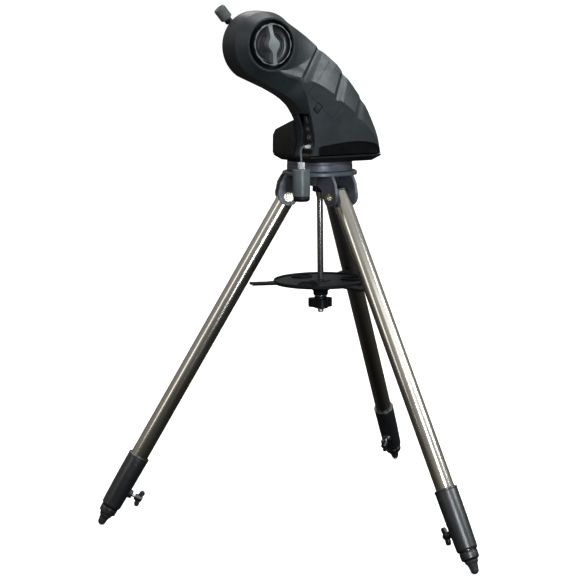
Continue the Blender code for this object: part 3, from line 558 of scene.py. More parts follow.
LOOKS = {
    "arm": moulded("arm_charcoal", (0.020, 0.025, 0.028), rough=(0.34, 0.43)),
    "plastic": moulded("black_moulding", (0.006, 0.0063, 0.0072), rough=(0.38, 0.52), gloss=0.28),
    "gloss": moulded("black_satin", (0.011, 0.012, 0.0145), rough=(0.30, 0.38), depth=0.00002, gloss=1.0),
    # Near-black: the cap ring's own colour, and painted shade on the arm's under-band and in the knob's
    # recess.
    "black_and_painted_shade": moulded("near_black_and_painted_shade", (0.003, 0.003, 0.0035), rough=(0.45, 0.6), gloss=0.2),
    # Pale grey: the clutch bar's own colour, and a painted highlight on the knob's rim ring.
    "pale_grey_and_highlight": moulded("pale_grey_and_painted_highlight", (0.20, 0.22, 0.22), rough=(0.28, 0.38), depth=0.00003),
    "knob": moulded("knob_grey", (0.085, 0.092, 0.094), rough=(0.3, 0.42)),
    "grey": moulded("adapter_grey", (0.105, 0.122, 0.122), rough=(0.28, 0.38), depth=0.00003),
    "casting": cast_metal("head_casting", (0.100, 0.107, 0.127)),
    "dark_casting": cast_metal("tray_casting", (0.008, 0.010, 0.012), (0.50, 0.64), 0.0, 0.08),
    "steel": drawn_steel("leg_steel"),
    "rod": drawn_steel("rod_steel", (0.66, 0.63, 0.60), (0.18, 0.3)),
    "zinc": plated("zinc_yellow", (0.52, 0.47, 0.33), (0.80, 0.76, 0.62)),
    "bright": plated("bright_plate", (0.60, 0.60, 0.60), (0.86, 0.86, 0.85)),
    "brass": plated("brass_gear", (0.55, 0.38, 0.15), (0.78, 0.60, 0.28)),
    "copper": plated("copper_band", (0.60, 0.32, 0.18), (0.78, 0.46, 0.28)),
    "rubber": rubber("foot_rubber"),
    "clear": clear("clear_plug"),
    "cord": moulded("cord_jacket", (0.085, 0.095, 0.098), rough=(0.35, 0.5), depth=0.00002),
    "board": board("circuit_board"),
}


# Tripod

def along(height):
    """A height along the leg from the tip of the foot, in the leg frame."""
    return height - LEG_LENGTH


# From the leg frame to the inner tube's axis at the lock's height, Z towards the middle of the stand
INWARDS = frame_at((0, 0, along(LOCK_HEIGHT)), (-1, 0, 0), (0, 0, 1))


def leg_angle(leg):
    reach = place_of(leg + "_leg_fold") - STAND.translation
    return math.atan2(reach.y, reach.x)


def turn_of(leg):
    """The stand frame turned so that X points at the leg."""
    return STAND @ Matrix.Rotation(leg_angle(leg), 4, "Z")


def leg_piece(leg, name, bm, look, body="leg", stands_for=None, turn=None, **shading):
    """Shows a piece of one leg, placed in the leg frame."""
    place = leg_frame(leg) @ turn if turn else leg_frame(leg)
    replaced = [f"{leg}_{stands_for}"] if stands_for else ()
    return show(f"{leg}_{name}", bm, look, f"{leg}_{body}", place, replaced=replaced, **shading)


def tripod_head():
    flange = turned([
        (ROD_RADIUS + 0.0006, 0.606), (0.030, 0.606), (0.033, 0.618), (0.0345, FLANGE_BOTTOM),
        (FLANGE_RADIUS - 0.0012, FLANGE_BOTTOM), (FLANGE_RADIUS, FLANGE_BOTTOM + 0.0012),
        (FLANGE_RADIUS, FLANGE_TOP - 0.0022), (FLANGE_RADIUS - 0.0022, FLANGE_TOP),
        (ROD_RADIUS + 0.0006, FLANGE_TOP),
    ], 0.0007, 128)
    show("tripod_head_flange", flange, "casting", "tripod", replaced=["tripod_head"])
    for leg in LEGS:
        ears(leg)
        head_rib(leg)
    side = frame_at((0.021, -0.0265, 0.6172), (0.5, -1, 0), (0, 0, 1))
    bolt = turned([(0, 0), (0.0030, 0), (0.0030, 0.0016), (0.0016, 0.0026), (0, 0.0028)], 0.0004, 32)
    show("head_grub_screw", bolt, "bright", "tripod", STAND @ side)


def ears(leg):
    """Two cast lugs that hold the leg's top between them, each with a turned pad round the pin."""
    lobe = [(0.024, 0.6262), (0.064, 0.6262), (0.0665, 0.6235), (0.0735, 0.612)]
    lobe += arc((PIVOT_RADIUS, 0.5915), 0.0195, 20, -120, 24)
    lobe += [(0.042, 0.583), (0.036, 0.600), (0.024, 0.606)]
    lobe = rounded(lobe, 0.006, least=12)
    across = frame_at((0, 0, 0), (0, -1, 0), (1, 0, 0))
    for side, name in ((1, "a"), (-1, "b")):
        low, high = sorted((side * EAR_INNER, side * EAR_OUTER))
        plate = prism(lobe, low, high, None, across)
        pad_low, pad_high = sorted((side * (EAR_INNER - 0.0009), side * EAR_INNER))
        pad = [(PIN_RADIUS + 0.0004, pad_low), (0.0085, pad_low), (0.0085, pad_high),
               (PIN_RADIUS + 0.0004, pad_high)]
        turned(pad, 0.0002, 48, plate, across @ Matrix.Translation((PIVOT_RADIUS, PIVOT_HEIGHT, 0)))
        show(f"{leg}_ear_{name}", plate, "casting", "tripod", turn_of(leg), bevel=0.0011, segments=3)


def head_rib(leg):
    """The web between two legs' lugs, under the flange."""
    outline = [(0.026, 0.6245), (0.060, 0.6245), (0.050, 0.6215), (0.036, 0.610), (0.028, 0.607)]
    across = frame_at((0, 0, 0), (0, -1, 0), (1, 0, 0))
    rib = prism(rounded(outline, 0.003), -0.0022, 0.0022, None, across)
    show(f"{leg}_head_rib", rib, "casting", "tripod", turn_of(leg) @ Matrix.Rotation(math.pi / 3, 4, "Z"),
         bevel=0.0008)


def hinge_bolt(leg):
    """Bolt head and washer on one side, washer, nut and the thread's end on the other."""
    across = leg_frame(leg) @ frame_at((0, 0, 0), (0, 1, 0), (1, 0, 0))
    face = EAR_OUTER + GAP
    thread = threaded(PIN_RADIUS, -0.0310, -face, 0.0007, 0.0003)
    bolt = turned([(0, -0.0314), (PIN_RADIUS - 0.0006, -0.0314), *thread, (PIN_RADIUS, face), (0, face)], 0,
                  48)
    pipe(0, 0.0086, face, face + 0.0010, 0.0002, 64, bolt)
    pipe(0, 0.0086, -face, -face - 0.0010, 0.0002, 64, bolt)
    turned([(0, face + 0.0042), (0.0052, face + 0.0042), (0.0046, face + 0.0047), (0, face + 0.0047)],
           0.0002, 48, bolt)
    show(leg + "_hinge_bolt_detail", bolt, "zinc", "tripod", across, replaced=[leg + "_hinge_bolt"])
    hexagon = arc((0, 0), 0.0066, 0, 300, 5)
    for name, low, high in (("bolt_head", face + 0.0010, face + 0.0043),
                            ("nut", -face - 0.0045, -face - 0.0010)):
        show(f"{leg}_hinge_{name}", prism(hexagon, low, high), "zinc", "tripod", across, bevel=0.0005,
             segments=3)


def leg_tube(leg):
    """The outer tube and the moulded plug in its top."""
    inside = TUBE_RADIUS - 0.0012
    low, high = along(COLLAR_STEP) + GAP, TUBE_TOP
    tube = pipe(inside, TUBE_RADIUS, low, high, 0.0004, 128)
    leg_piece(leg, "tube", tube, "steel", stands_for="leg_tube")
    cap, top = TUBE_RADIUS + 0.0006, TUBE_TOP + GAP
    plug = turned([
        (0, -0.030), (inside - GAP, -0.030), (inside - GAP, top), (cap, top), (cap, top + 0.0030),
        (0.0135, top + 0.0055), (0.0080, top + 0.0071), (0, top + 0.0075),
    ], 0.0008, 96)
    leg_piece(leg, "top_plug", plug, "gloss", stands_for="leg_top_plug")


def leg_collar(leg):
    """The moulding at the tube's lower end: a lipped mouth, a tapered body and a boss for the wing screw."""
    seat = TUBE_RADIUS + GAP
    bore = INNER_TUBE_RADIUS + 0.0005
    low, high = along(COLLAR_BOTTOM), along(COLLAR_TOP)
    collar = turned([
        (bore, low), (0.0165, low), (0.0178, low + 0.003), (COLLAR_RADIUS - 0.0008, low + 0.050),
        (COLLAR_RADIUS - 0.0004, high - 0.0052), (COLLAR_RADIUS - 0.0009, high - 0.0046),
        (COLLAR_RADIUS, high - 0.0040), (COLLAR_RADIUS, high - 0.0010), (COLLAR_RADIUS - 0.0014, high),
        (seat, high), (seat, along(COLLAR_STEP)), (bore, along(COLLAR_STEP)),
    ], 0.0010, 128)
    leg_piece(leg, "collar", collar, "gloss", stands_for="leg_collar")
    boss = turned([(0.0034, 0.0150), (0.0092, 0.0150), (0.0078, 0.0205), (0.0074, 0.0240),
                   (0.0034, 0.0240)], 0.0008, 64)
    leg_piece(leg, "lock_boss", boss, "gloss", turn=INWARDS)
    for side in (-1, 1):
        out = frame_at((0, side * (COLLAR_RADIUS - 0.0006), along(0.1315)), (0, side, 0), (0, 0, 1))
        screw = screw_head(0.0021, 0.0008, (0.0012, 0.0004))
        leg_piece(leg, f"collar_screw_{'ab'[side > 0]}", screw, "gloss", turn=out)


def wing_screw(leg):
    """A steel stem in a two-winged plastic head."""
    stem = turned([(0, 0.0134), *threaded(0.0030, 0.0138, 0.0296, 0.0008, 0.0004), (0.0030, 0.0330),
                   (0, 0.0330)], 0, 48)
    leg_piece(leg, "lock_stem", stem, "bright", "lock", "wing_screw", INWARDS)
    hub = turned([(0, 0.0300), (0.0056, 0.0300), (0.0062, 0.0315), (0.0052, 0.0430), (0.0040, 0.0440),
                  (0, 0.0442)], 0.0006, 64)
    leg_piece(leg, "lock_hub", hub, "gloss", "lock", turn=INWARDS)
    wing = [(0.003, 0.0335), (0.012, 0.0345), (0.0155, 0.0370), (0.0155, 0.0415), (0.012, 0.0440),
            (0.003, 0.0425)]
    outline = rounded(wing + [(-x, z) for x, z in reversed(wing)], 0.0022)
    wings = prism(outline, -0.0031, 0.0031)
    leg_piece(leg, "lock_wings", wings, "gloss", "lock", turn=INWARDS @ Matrix.Rotation(math.pi / 2, 4, "X"),
              bevel=0.0013, segments=4)


def extension(leg):
    """Inner tube, the cup on its end and the boot."""
    low, high = along(0.0262), along(0.560)
    tube = pipe(0.0115, INNER_TUBE_RADIUS, low, high, 0.0003, 96)
    leg_piece(leg, "sliding_tube", tube, "steel", "extension", "inner_tube")
    low, high, floor = along(FOOT_TOP) + GAP, along(0.0385), along(0.0262) - GAP
    around, stem = INNER_TUBE_RADIUS + GAP, 0.0050 + GAP
    cap = turned([
        (stem, low), (0.0118, low), (0.0152, low + 0.003), (0.0156, high - 0.0022), (0.0150, high - 0.0018),
        (0.0156, high - 0.0012), (0.0154, high), (around, high), (around, floor), (stem, floor),
    ], 0.0005, 96)
    leg_piece(leg, "foot_cap", cap, "gloss", "extension", "end_cap")
    ring = pipe(around, 0.0149, high, high + 0.0021, 0.0003, 96)
    leg_piece(leg, "cap_ring", ring, "black_and_painted_shade", "extension", slot="black_rubber")
    rubber_foot(leg)


def rubber_foot(leg):
    """A tapered boot with three grooves and a round tip."""
    ball = 0.007
    tilt = math.acos(leg_frame(leg).col[2].z)
    centre = along(ball / math.cos(tilt))
    tip = [(ball * math.cos(math.radians(a)), centre + ball * math.sin(math.radians(a)))
           for a in range(-84, 1, 7)]
    top = along(FOOT_TOP)
    grooves = []
    for i in range(3):
        height = centre + 0.0024 + 0.0022 * i
        radius = ball + 0.0004 + 0.0004 * i
        grooves += [(radius, height - 0.0004), (radius - 0.0005, height), (radius, height + 0.0004)]
    profile = [(0, centre - ball), *tip, *grooves, (0.0089, top - 0.006), (0.0112, top - 0.003),
               (0.0112, top), (0.0050, top), (0.0050, along(0.0250)), (0, along(0.0250))]
    leg_piece(leg, "boot", turned(profile, 0.0003, 96), "rubber", "extension", "rubber_foot")


def centre_bolt():
    """The rod with a thread at each end, and its ribbed hand nut."""
    lower = threaded(ROD_RADIUS, 0.3790, 0.4100, 0.0012, 0.0006)
    upper = threaded(ROD_RADIUS, 0.5900, 0.6390, 0.0012, 0.0006)
    rod = turned([(0, 0.3775), (ROD_RADIUS - 0.0010, 0.3775), *lower, *upper, (0, 0.6400)], 0, 64)
    show("centre_rod_detail", rod, "rod", "mount_bolt", replaced=["centre_rod"])
    ribs = 20
    nut = prism(lobed(lambda angle: 0.0124 + 0.0006 * math.cos(ribs * angle), 160), 0.5945, 0.6050)
    pipe(ROD_RADIUS + 0.0003, 0.0112, 0.5940, 0.6055, 0.0005, 64, nut)
    show("hand_nut", nut, "plastic", "mount_bolt", replaced=["rod_hand_nut"], bevel=0.0006, sharp=50)


# Tray

def plate(outline, holes, low, high):
    """A flat plate with round holes, given as (x, y, radius)."""
    bm = bmesh.new()
    loops = [outline] + [arc((x, y), r, 0, 355, 71) for x, y, r in holes]
    flat = [Vector(p) for loop in loops for p in loop]
    edges, start = [], 0
    for loop in loops:
        edges += [(start + i, start + (i + 1) % len(loop)) for i in range(len(loop))]
        start += len(loop)
    points, _, faces, *_ = delaunay_2d_cdt(flat, edges, [], 1, 1e-7)
    kept = []
    for face in faces:
        x, y = sum((points[i] for i in face), Vector((0, 0))) / len(face)
        if all(math.hypot(x - hx, y - hy) > r for hx, hy, r in holes):
            kept.append(face)
    for level in (low, high):
        made = [bm.verts.new((p.x, p.y, level)) for p in points]
        for face in kept:
            bm.faces.new([made[i] for i in face])
        if level == low:
            bottom = made
    start = 0
    for loop in loops:
        for i in range(len(loop)):
            j = start + (i + 1) % len(loop)
            bm.faces.new((bottom[start + i], bottom[j], made[j], made[start + i]))
        start += len(loop)
    return bm


def tray_outline():
    """A disc with an arm to each leg, blended at the roots."""
    disc = TRAY_RADIUS - 0.0004
    half_arm, root = 0.0095, 0.016
    points = []
    for leg in LEGS:
        turn = Matrix.Rotation(leg_angle(leg), 2)
        near = math.degrees(math.asin(root / disc))
        arm = [(math.sqrt(disc**2 - root**2), -root), (0.096, -half_arm),
               (TRAY_ARM_REACH - 0.001, -half_arm), (TRAY_ARM_REACH - 0.0035, 0.0)]
        arm += [(x, -y) for x, y in reversed(arm[:3])]
        arm = rounded(arm, 0.006, closed=False, steps=6, least=10)
        points += [turn @ Vector(p) for p in arm]
        points += [turn @ Vector(p) for p in arc((0, 0), disc, near + 2, 120 - near - 2, 30)]
    return [tuple(p) for p in points]


def tray():
    """A ribbed disc with three ringed holes, a hub and an arm to each leg."""
    top = TRAY_TOP
    bore = ROD_RADIUS + 0.0005
    centres = []
    for leg in LEGS:
        spot = turn_of(leg) @ Matrix.Rotation(math.pi / 3, 4, "Z") @ Vector((EYEPIECE_CIRCLE, 0, 0))
        centres.append(spot - STAND.translation)
    holes = [(spot.x, spot.y, EYEPIECE_RADIUS) for spot in centres] + [(0, 0, bore)]
    made = plate(tray_outline(), holes, top - 0.0028, top)
    pipe(TRAY_RADIUS - 0.0025, TRAY_RADIUS, top - 0.003, top + 0.0035, 0.0010, 160, made)
    turned([(bore, 0.4088), (0.013, 0.4088), (0.0135, 0.416), (0.030, top - 0.005), (0.040, top - 0.0027),
            (0.018, top - 0.001), (0.0175, top + 0.0012), (0.016, top + 0.0025), (bore, top + 0.0025)],
           0.0010, 96, made)
    for spot in centres:
        rim = [(EYEPIECE_RADIUS, top - 0.0040), (EYEPIECE_RADIUS + 0.0028, top - 0.0030),
               (EYEPIECE_RADIUS + 0.0028, top + 0.0045), (EYEPIECE_RADIUS, top + 0.0045)]
        turned(rim, 0.0009, 96, made, Matrix.Translation((spot.x, spot.y, 0)))
    for leg in LEGS:
        local = STAND.inverted() @ turn_of(leg)
        for side in (-1, 1):
            block((0.030, side * 0.0072 - 0.0009, top - 0.0048),
                  (TRAY_ARM_REACH - 0.006, side * 0.0072 + 0.0009, top - 0.002), made, local)
    show("tray_casting", made, "dark_casting", "tray", replaced=["accessory_tray"], sharp=40)
    washer = pipe(ROD_RADIUS + GAP, 0.0118, 0.4075, 0.4084, 0.0002, 96)
    show("tray_washer_detail", washer, "bright", "tray", replaced=["tray_washer"])


def tray_knob():
    """A three-lobed hand nut on a turned neck."""
    outline = lobed(lambda angle: 0.0190 + 0.0045 * math.cos(3 * angle), 180)
    knob = plate(outline, [(0, 0, ROD_RADIUS + 0.0004)], 0.3865, 0.4018)
    show("tray_knob_lobes", knob, "plastic", "tray_nut", replaced=["tray_knob"], bevel=0.0018,
         segments=4, sharp=50)
    bore = ROD_RADIUS + 0.0005
    neck = turned([(bore, 0.3850), (0.0100, 0.3850), (0.0112, 0.3870), (0.0112, 0.4050), (0.0104, 0.4071),
                   (bore, 0.4071)], 0.0006, 96)
    show("tray_knob_neck", neck, "plastic", "tray_nut")


def tripod():
    tripod_head()
    for leg in LEGS:
        hinge_bolt(leg)
        leg_tube(leg)
        leg_collar(leg)
        wing_screw(leg)
        extension(leg)
    centre_bolt()
    tray()
    tray_knob()


# Mount body: the base

def base_outline(inset):
    """The base's plan with chamfered corners, in the mount frame."""
    left, right = BASE_LEFT_X + inset, BASE_RIGHT_X - inset
    front, back = FACE_Y + inset, BASE_BACK_Y - inset
    corner, small = 0.010, 0.003
    return [(left + corner / 2, front), (right - corner, front), (right, front + corner),
            (right, back - corner), (right - corner, back), (left + small, back), (left, back - small),
            (left, front + corner / 2)]


def strips(bm, rings, closed=True):
    """Faces between neighbouring rings of points; returns the rings' vertices."""
    made = [[bm.verts.new(p) for p in ring] for ring in rings]
    for low, high in zip(made, made[1:]):
        for i in range(len(low) if closed else len(low) - 1):
            j = (i + 1) % len(low)
            bm.faces.new((low[i], low[j], high[j], high[i]))
    return made


def thicken(made, thickness=0.0025, sharp=28):
    """Gives an open skin its wall, inwards."""
    wall = made.modifiers.new("wall", "SOLIDIFY")
    wall.thickness = thickness
    wall.offset = -1.0
    applied(made)
    made.data.set_sharp_from_angle(angle=math.radians(sharp))


def turntable():
    low = FLANGE_TOP + GAP
    hole = ROD_RADIUS + 0.0004
    made = turned([(0, 0.6405), (hole, 0.6405), (hole, low), (TURNTABLE_RADIUS - 0.0012, low),
                   (TURNTABLE_RADIUS, low + 0.0012), (TURNTABLE_RADIUS, 0.6428),
                   (TURNTABLE_RADIUS - 0.0009, 0.6433), (TURNTABLE_RADIUS - 0.0009, 0.6440),
                   (TURNTABLE_RADIUS - 0.0004, 0.6444), (TURNTABLE_RADIUS - 0.0004, TURNTABLE_TOP),
                   (0.0170, TURNTABLE_TOP), (0.0170, 0.6616), (0.0120, 0.6616), (0.0120, 0.6740),
                   (0, 0.6740)], 0.0004, 160)
    show("turntable_casting", made, "casting", "tripod", replaced=["azimuth_turntable"])


def base_floor():
    """The tray that closes the base from below, its sides sloping in to the bottom, held by four screws."""
    levels = ((SEAM - 0.0004, 0.0150), (SEAM, 0.0140), (SEAM, 0.0011), (SEAM - 0.0006, 0.0004),
              (0.6585, 0.0004), (0.6576, 0.0010), (0.6506, 0.0102), (FLOOR_BOTTOM, 0.0112))
    bm = bmesh.new()
    rings = []
    for height, inset in levels:
        outline = rounded(base_outline(inset), 0.005, steps=5)
        rings.append([(x, y, height) for x, y in outline])
    made = strips(bm, rings)
    bm.faces.new(made[-1])
    floor_tray = show("base_floor_moulding", bm, "plastic", "mount", replaced=["base_floor"],
                      sharp=28, outward=(0, 0, -1))
    thicken(floor_tray)
    screws = bmesh.new()
    for x in (-0.036, 0.062):
        for y in (-0.048, 0.036):
            down = frame_at((x, y, FLOOR_BOTTOM), (0, 0, -1), (1, 0, 0))
            screw_head(0.0030, 0.0008, (0.0020, 0.0004), screws, down)
    show("base_floor_screws", screws, "zinc", "mount")


def base_housing():
    """The cover behind the arm, open towards it, with softened edges."""
    low, front = SEAM + GAP, ARM_BACK_Y + GAP
    section = [(front, 0.722), (0.050, 0.7045), (0.0605, 0.694), (BASE_BACK_Y, low)]
    section = rounded(section, 0.007, closed=False, steps=6, least=8)
    edge = 0.0022
    left, right = BASE_LEFT_X, BASE_RIGHT_X - 0.004
    middle = Vector((0.022, 0.668))
    rings = []
    for x, inset in ((left, edge), (left + 0.3 * edge, 0.3 * edge), (left + edge, 0.0),
                     (right - edge, 0.0), (right - 0.3 * edge, 0.3 * edge), (right, edge)):
        ring = []
        for y, z in section:
            inward = (middle - Vector((y, z))).normalized()
            ring.append((x, y + max(0, -inward.x) * -inset, z - inset * (z > low + 1e-4)))
        rings.append(ring)
    bm = bmesh.new()
    made = strips(bm, rings, closed=False)
    for ring, x in ((made[0], left), (made[-1], right)):
        corner = bm.verts.new((x, front, low))
        bm.faces.new([*ring, corner])
    housing = show("base_cover", bm, "plastic", "mount", replaced=["base_housing"], sharp=34,
                   outward=(0, 1, 1))
    thicken(housing)
    web = block((left + 0.0010, front, low + 0.0004), (-0.0470, front + 0.0025, 0.7190))
    show("base_cover_web", web, "plastic", "mount")
    screws = bmesh.new()
    for x in (-0.044, 0.066):
        for z in (0.674, 0.692):
            out = frame_at((x, BASE_BACK_Y - 0.0004 - (z - low) * 0.043, z), (0, 1, 0.04), (1, 0, 0))
            screw_head(0.0026, 0.0006, (0.0016, 0.0003), screws, out)
    show("base_cover_screws", screws, "zinc", "mount")


# Mount body: the arm, seen from its outer side as (x, z)

CONVEX_LOW = [(0.0900, SEAM + GAP), (0.0840, 0.6910), (0.0725, 0.7195), (0.0576, 0.7476), (0.0376, 0.7756),
              (0.0023, 0.8172)]
CONVEX_HIGH = [(0.0023, 0.8172), (-0.0302, 0.8428), (-0.0610, 0.8668)]
CONCAVE = [(-0.1200, 0.7784), (-0.0940, 0.7640), (-0.0766, 0.7500), (-0.0663, 0.7360), (-0.0596, 0.7230),
           (-0.0550, 0.7060), (-0.0530, 0.6880), (-0.0545, 0.6760), (-0.0590, SEAM + GAP)]
RIDGE = [(0.0800, SEAM + GAP), (0.0740, 0.6830), (0.0620, 0.7020), (0.0450, 0.7200), (0.0210, 0.7410),
         (-0.0148, 0.7687), (-0.0459, 0.7862), (-0.0760, 0.7955), (-0.1070, 0.8028)]
BORDER = [(-0.1075, 0.7990), (-0.0790, 0.7905), (-0.0665, 0.7650), (-0.0600, 0.7400), (-0.0545, 0.7150),
          (-0.0510, 0.6900), (-0.0520, 0.6760), (-0.0570, SEAM + GAP)]
HUB_START, HUB_END = 44.0, 238.0
UNDERCUT = [(-0.0640, 0.6735), (-0.0509, 0.6766), (-0.0016, 0.6832), (0.0344, 0.6852), (0.0640, 0.6815),
            (0.0760, 0.6755), (0.0830, 0.6640), (0.0860, 0.6560)]
UNDERCUT_START = -0.044
UNDERCUT_STEP = 0.0030
UNDERCUT_SLOPE = 0.26
STEPS = [  # the shingled steps of the upper panel: outer end, inner end, depth
    ((-0.0380, 0.8464), (-0.0767, 0.7952), 0.0026),
    ((0.0108, 0.8052), (-0.0148, 0.7619), 0.0026),
    ((0.0446, 0.7584), (0.0306, 0.7351), 0.0022),
]
STEP_WALL = (0.0072, 0.0052)  # width of a step's near wall at its inner and outer end
STEP_RISE = 0.0150
STEP_REACH = 0.016
SKIN_PITCH = 0.0016
LEAST_MARGIN = 0.0005  # between a guide line and the edge of the skin
LATCH = (-0.0495, -0.0354, 0.0066)  # low and high y and half width of the finger recess, in the door frame


def arm_outline(end_radius):
    """From the base's right corner up the convex side, round the hub and down to the left corner."""
    hub = arc((BODY_X, BODY_Z), end_radius, HUB_START, HUB_END, 64)
    low = curve_through(CONVEX_LOW, 14)
    high = curve_through([*CONVEX_HIGH, hub[0]], 14)[1:]
    under = curve_through([hub[-1], CONCAVE[0]], 10)[1:]
    return low + high + hub[1:] + under + curve_through(CONCAVE, 10)[1:]


def arm_face():
    """The flat face's edge: up the ridge, round the hub's ring and down the border."""
    ridge = curve_through(RIDGE, 14)
    ring = arc((HUB_X, HUB_Z), RING_RADIUS, -72, 285, 120)
    border = curve_through(BORDER, 10)
    return ridge + ring + border[2:]


def inside(points, loop):
    """Which of the (n, 2) points lie inside the loop."""
    x, y = points[:, 0, None], points[:, 1, None]
    start = np.array(loop)
    end = np.roll(start, -1, axis=0)
    crosses = (start[:, 1] > y) != (end[:, 1] > y)
    rise = np.where(end[:, 1] == start[:, 1], 1e-12, end[:, 1] - start[:, 1])
    at = start[:, 0] + (y - start[:, 1]) * (end[:, 0] - start[:, 0]) / rise
    return (crosses & (x < at)).sum(axis=1) % 2 == 1


def within(points, region, holes):
    """Which of the points lie in the region and outside its holes."""
    keep = inside(points, region)
    for hole in holes:
        keep &= ~inside(points, hole)
    return keep


def distance(points, line):
    """How far each of the (n, 2) points is from an open line."""
    start, end = np.array(line[:-1]), np.array(line[1:])
    run = end - start
    length = np.maximum((run**2).sum(axis=1), 1e-18)
    best = np.full(len(points), np.inf)
    for a, r, l in zip(start, run, length):
        t = np.clip(((points - a) @ r) / l, 0, 1)
        best = np.minimum(best, np.hypot(*(points - a - t[:, None] * r).T))
    return best


def smooth(t):
    t = np.clip(t, 0, 1)
    return t * t * (3 - 2 * t)


def in_door_frame(points):
    """The points' places along and across the battery door."""
    x, z = points[:, 0] - DOOR_X, points[:, 1] - DOOR_Z
    return (x - z) * math.sqrt(0.5), (x + z) * math.sqrt(0.5)


def step_axes(outer, inner):
    """A step's two ends, the direction out along it and the direction across it, downhill."""
    outer, inner = np.array(outer), np.array(inner)
    line = (outer - inner) / np.hypot(*(outer - inner))
    return outer, inner, line, np.array((line[1], -line[0]))


def steps_at(points):
    """For each step: its depth at each point, how far out along it the point is, and its direction."""
    for outer, inner, depth in STEPS:
        outer, inner, line, downhill = step_axes(outer, inner)
        length = np.hypot(*(outer - inner))
        out, past = (points - inner) @ line, (points - inner) @ downhill
        wall = np.interp(out / length, (0, 1), STEP_WALL)
        profile = np.where(past < wall, past / wall, 1 - smooth((past - wall) / STEP_RISE))
        profile = np.where((past < 0) | (past > wall + STEP_RISE) | (out < -STEP_REACH), 0, profile)
        yield depth * profile, out, line


def notched(outline):
    """The outline drawn in a little where the steps reach it."""
    points = np.array(outline)
    moved = points.copy()
    for depth, out, line in steps_at(points):
        moved -= np.where(out > 0.01, 0.6 * depth, 0)[:, None] * line
    return [tuple(p) for p in moved]


def panel_drop(points):
    """How far the stepped, sloping panel lies behind the flat face; below 0 the flat face is in front."""
    to_face = distance(points, arm_face())
    to_outline = distance(points, arm_outline(SHOULDER_RADIUS))
    beyond = np.where(inside(points, arm_face()), -to_face, to_face)
    drop = (SHOULDER_Y - FACE_Y) * beyond / np.maximum(to_outline + beyond, 1e-9)
    stepped = distance(points, RIDGE) < distance(points, BORDER)
    return drop + stepped * sum(depth for depth, _, _ in steps_at(points))


def face_height(points):
    """The outer skin's y at each (x, z): flat face, panels, cone round the hub, steps and undercut."""
    points = np.asarray(points, float)
    height = FACE_Y + np.maximum(panel_drop(points), 0)
    edge = np.array(curve_through(UNDERCUT, 8))
    below = np.interp(points[:, 0], edge[:, 0], edge[:, 1]) - points[:, 1]
    under = UNDERCUT_STEP * smooth(below / 0.0012) + np.maximum(below, 0) * UNDERCUT_SLOPE
    height = height + under * smooth((points[:, 0] - UNDERCUT_START) / 0.012)
    along_door, across_door = in_door_frame(points)
    low, high, half = LATCH
    side = np.minimum(half - np.abs(along_door),
                      np.minimum(across_door - low, (high + 0.003) - across_door))
    height = height + 0.0032 * smooth(side / 0.0009) * (side > 0)
    return np.minimum(height, SHOULDER_Y + 0.004)


def notch_line(outer, inner):
    """Where a step runs out in the flat face, found by searching along the step from its inner end."""
    outer, inner, line, downhill = step_axes(outer, inner)
    reach = np.linspace(-STEP_REACH, 0.010, 120)
    found = []
    for past in np.linspace(0.0004, STEP_WALL[0] + 0.8 * STEP_RISE, 22):
        points = inner + reach[:, None] * line + past * downhill
        first = int(np.argmax(panel_drop(points) > 0))
        found.append(tuple(points[first]))
    return found


def grid_inside(region, holes, kept_clear):
    """A staggered grid of points over the region, a little away from the given lines."""
    spread = np.array(region)
    low, high = spread.min(axis=0), spread.max(axis=0)
    xs, zs = (np.arange(low[i], high[i], SKIN_PITCH) for i in (0, 1))
    grid = np.stack(np.meshgrid(xs, zs), -1).reshape(-1, 2)
    grid[:, 0] += (np.round(grid[:, 1] / SKIN_PITCH) % 2) * SKIN_PITCH / 2
    grid = grid[within(grid, region, holes)]
    for line in kept_clear:
        grid = grid[distance(grid, line) > 0.45 * SKIN_PITCH]
    return [Vector(p) for p in grid]


def skin(region, holes, lines):
    """The outer skin over a region with holes, its mesh following the guide lines and a fine grid."""
    loops = [list(map(Vector, loop)) for loop in [region, *holes]]
    flat, edges = [], []
    for loop in loops:
        start = len(flat)
        flat += loop
        edges += [(start + i, start + (i + 1) % len(loop)) for i in range(len(loop))]
    borders = [list(loop) + [loop[0]] for loop in (region, *holes)]
    for line in lines:
        guide = np.array(line)
        keep = within(guide, region, holes)
        for border in borders:
            keep &= distance(guide, border) > LEAST_MARGIN
        for i in range(len(line)):
            if keep[i]:
                flat.append(Vector(guide[i]))
                if i and keep[i - 1]:
                    edges.append((len(flat) - 2, len(flat) - 1))
    flat += grid_inside(region, holes, [*borders, *lines])
    points, _, faces, *_ = delaunay_2d_cdt(flat, edges, [], 1, 1e-7)
    spots = np.array([tuple(p) for p in points])
    middles = np.array([spots[list(face)].mean(axis=0) for face in faces])
    bm = bmesh.new()
    heights = face_height(spots)
    verts = [bm.verts.new((x, y, z)) for (x, z), y in zip(spots, heights)]
    for face, kept in zip(faces, within(middles, region, holes)):
        if kept:
            bm.faces.new([verts[i] for i in face])
    loose = [v for v in bm.verts if not v.link_faces]
    bmesh.ops.delete(bm, geom=loose, context="VERTS")
    return bm


def door_point(u, v):
    """The (x, z) of a point along and across the battery door."""
    half = math.sqrt(0.5)
    return DOOR_X + (u + v) * half, DOOR_Z + (v - u) * half


def evenly(corners, pitch):
    """The open line through the corners, cut into lengths of about the pitch, without its last point."""
    fine = []
    for a, b in zip(corners, corners[1:]):
        count = max(1, round(math.dist(a, b) / pitch))
        fine += [(a[0] + (b[0] - a[0]) * i / count, a[1] + (b[1] - a[1]) * i / count) for i in range(count)]
    return fine


def door_loop(margin):
    """The battery door's outline as (x, z), with small corner radii."""
    x, z = DOOR_LENGTH / 2 + margin, DOOR_WIDTH / 2 + margin
    corners = rounded([(-x, -z), (x, -z), (x, z), (-x, z)], 0.0016)
    return [door_point(*spot) for spot in evenly(corners + corners[:1], SKIN_PITCH)]


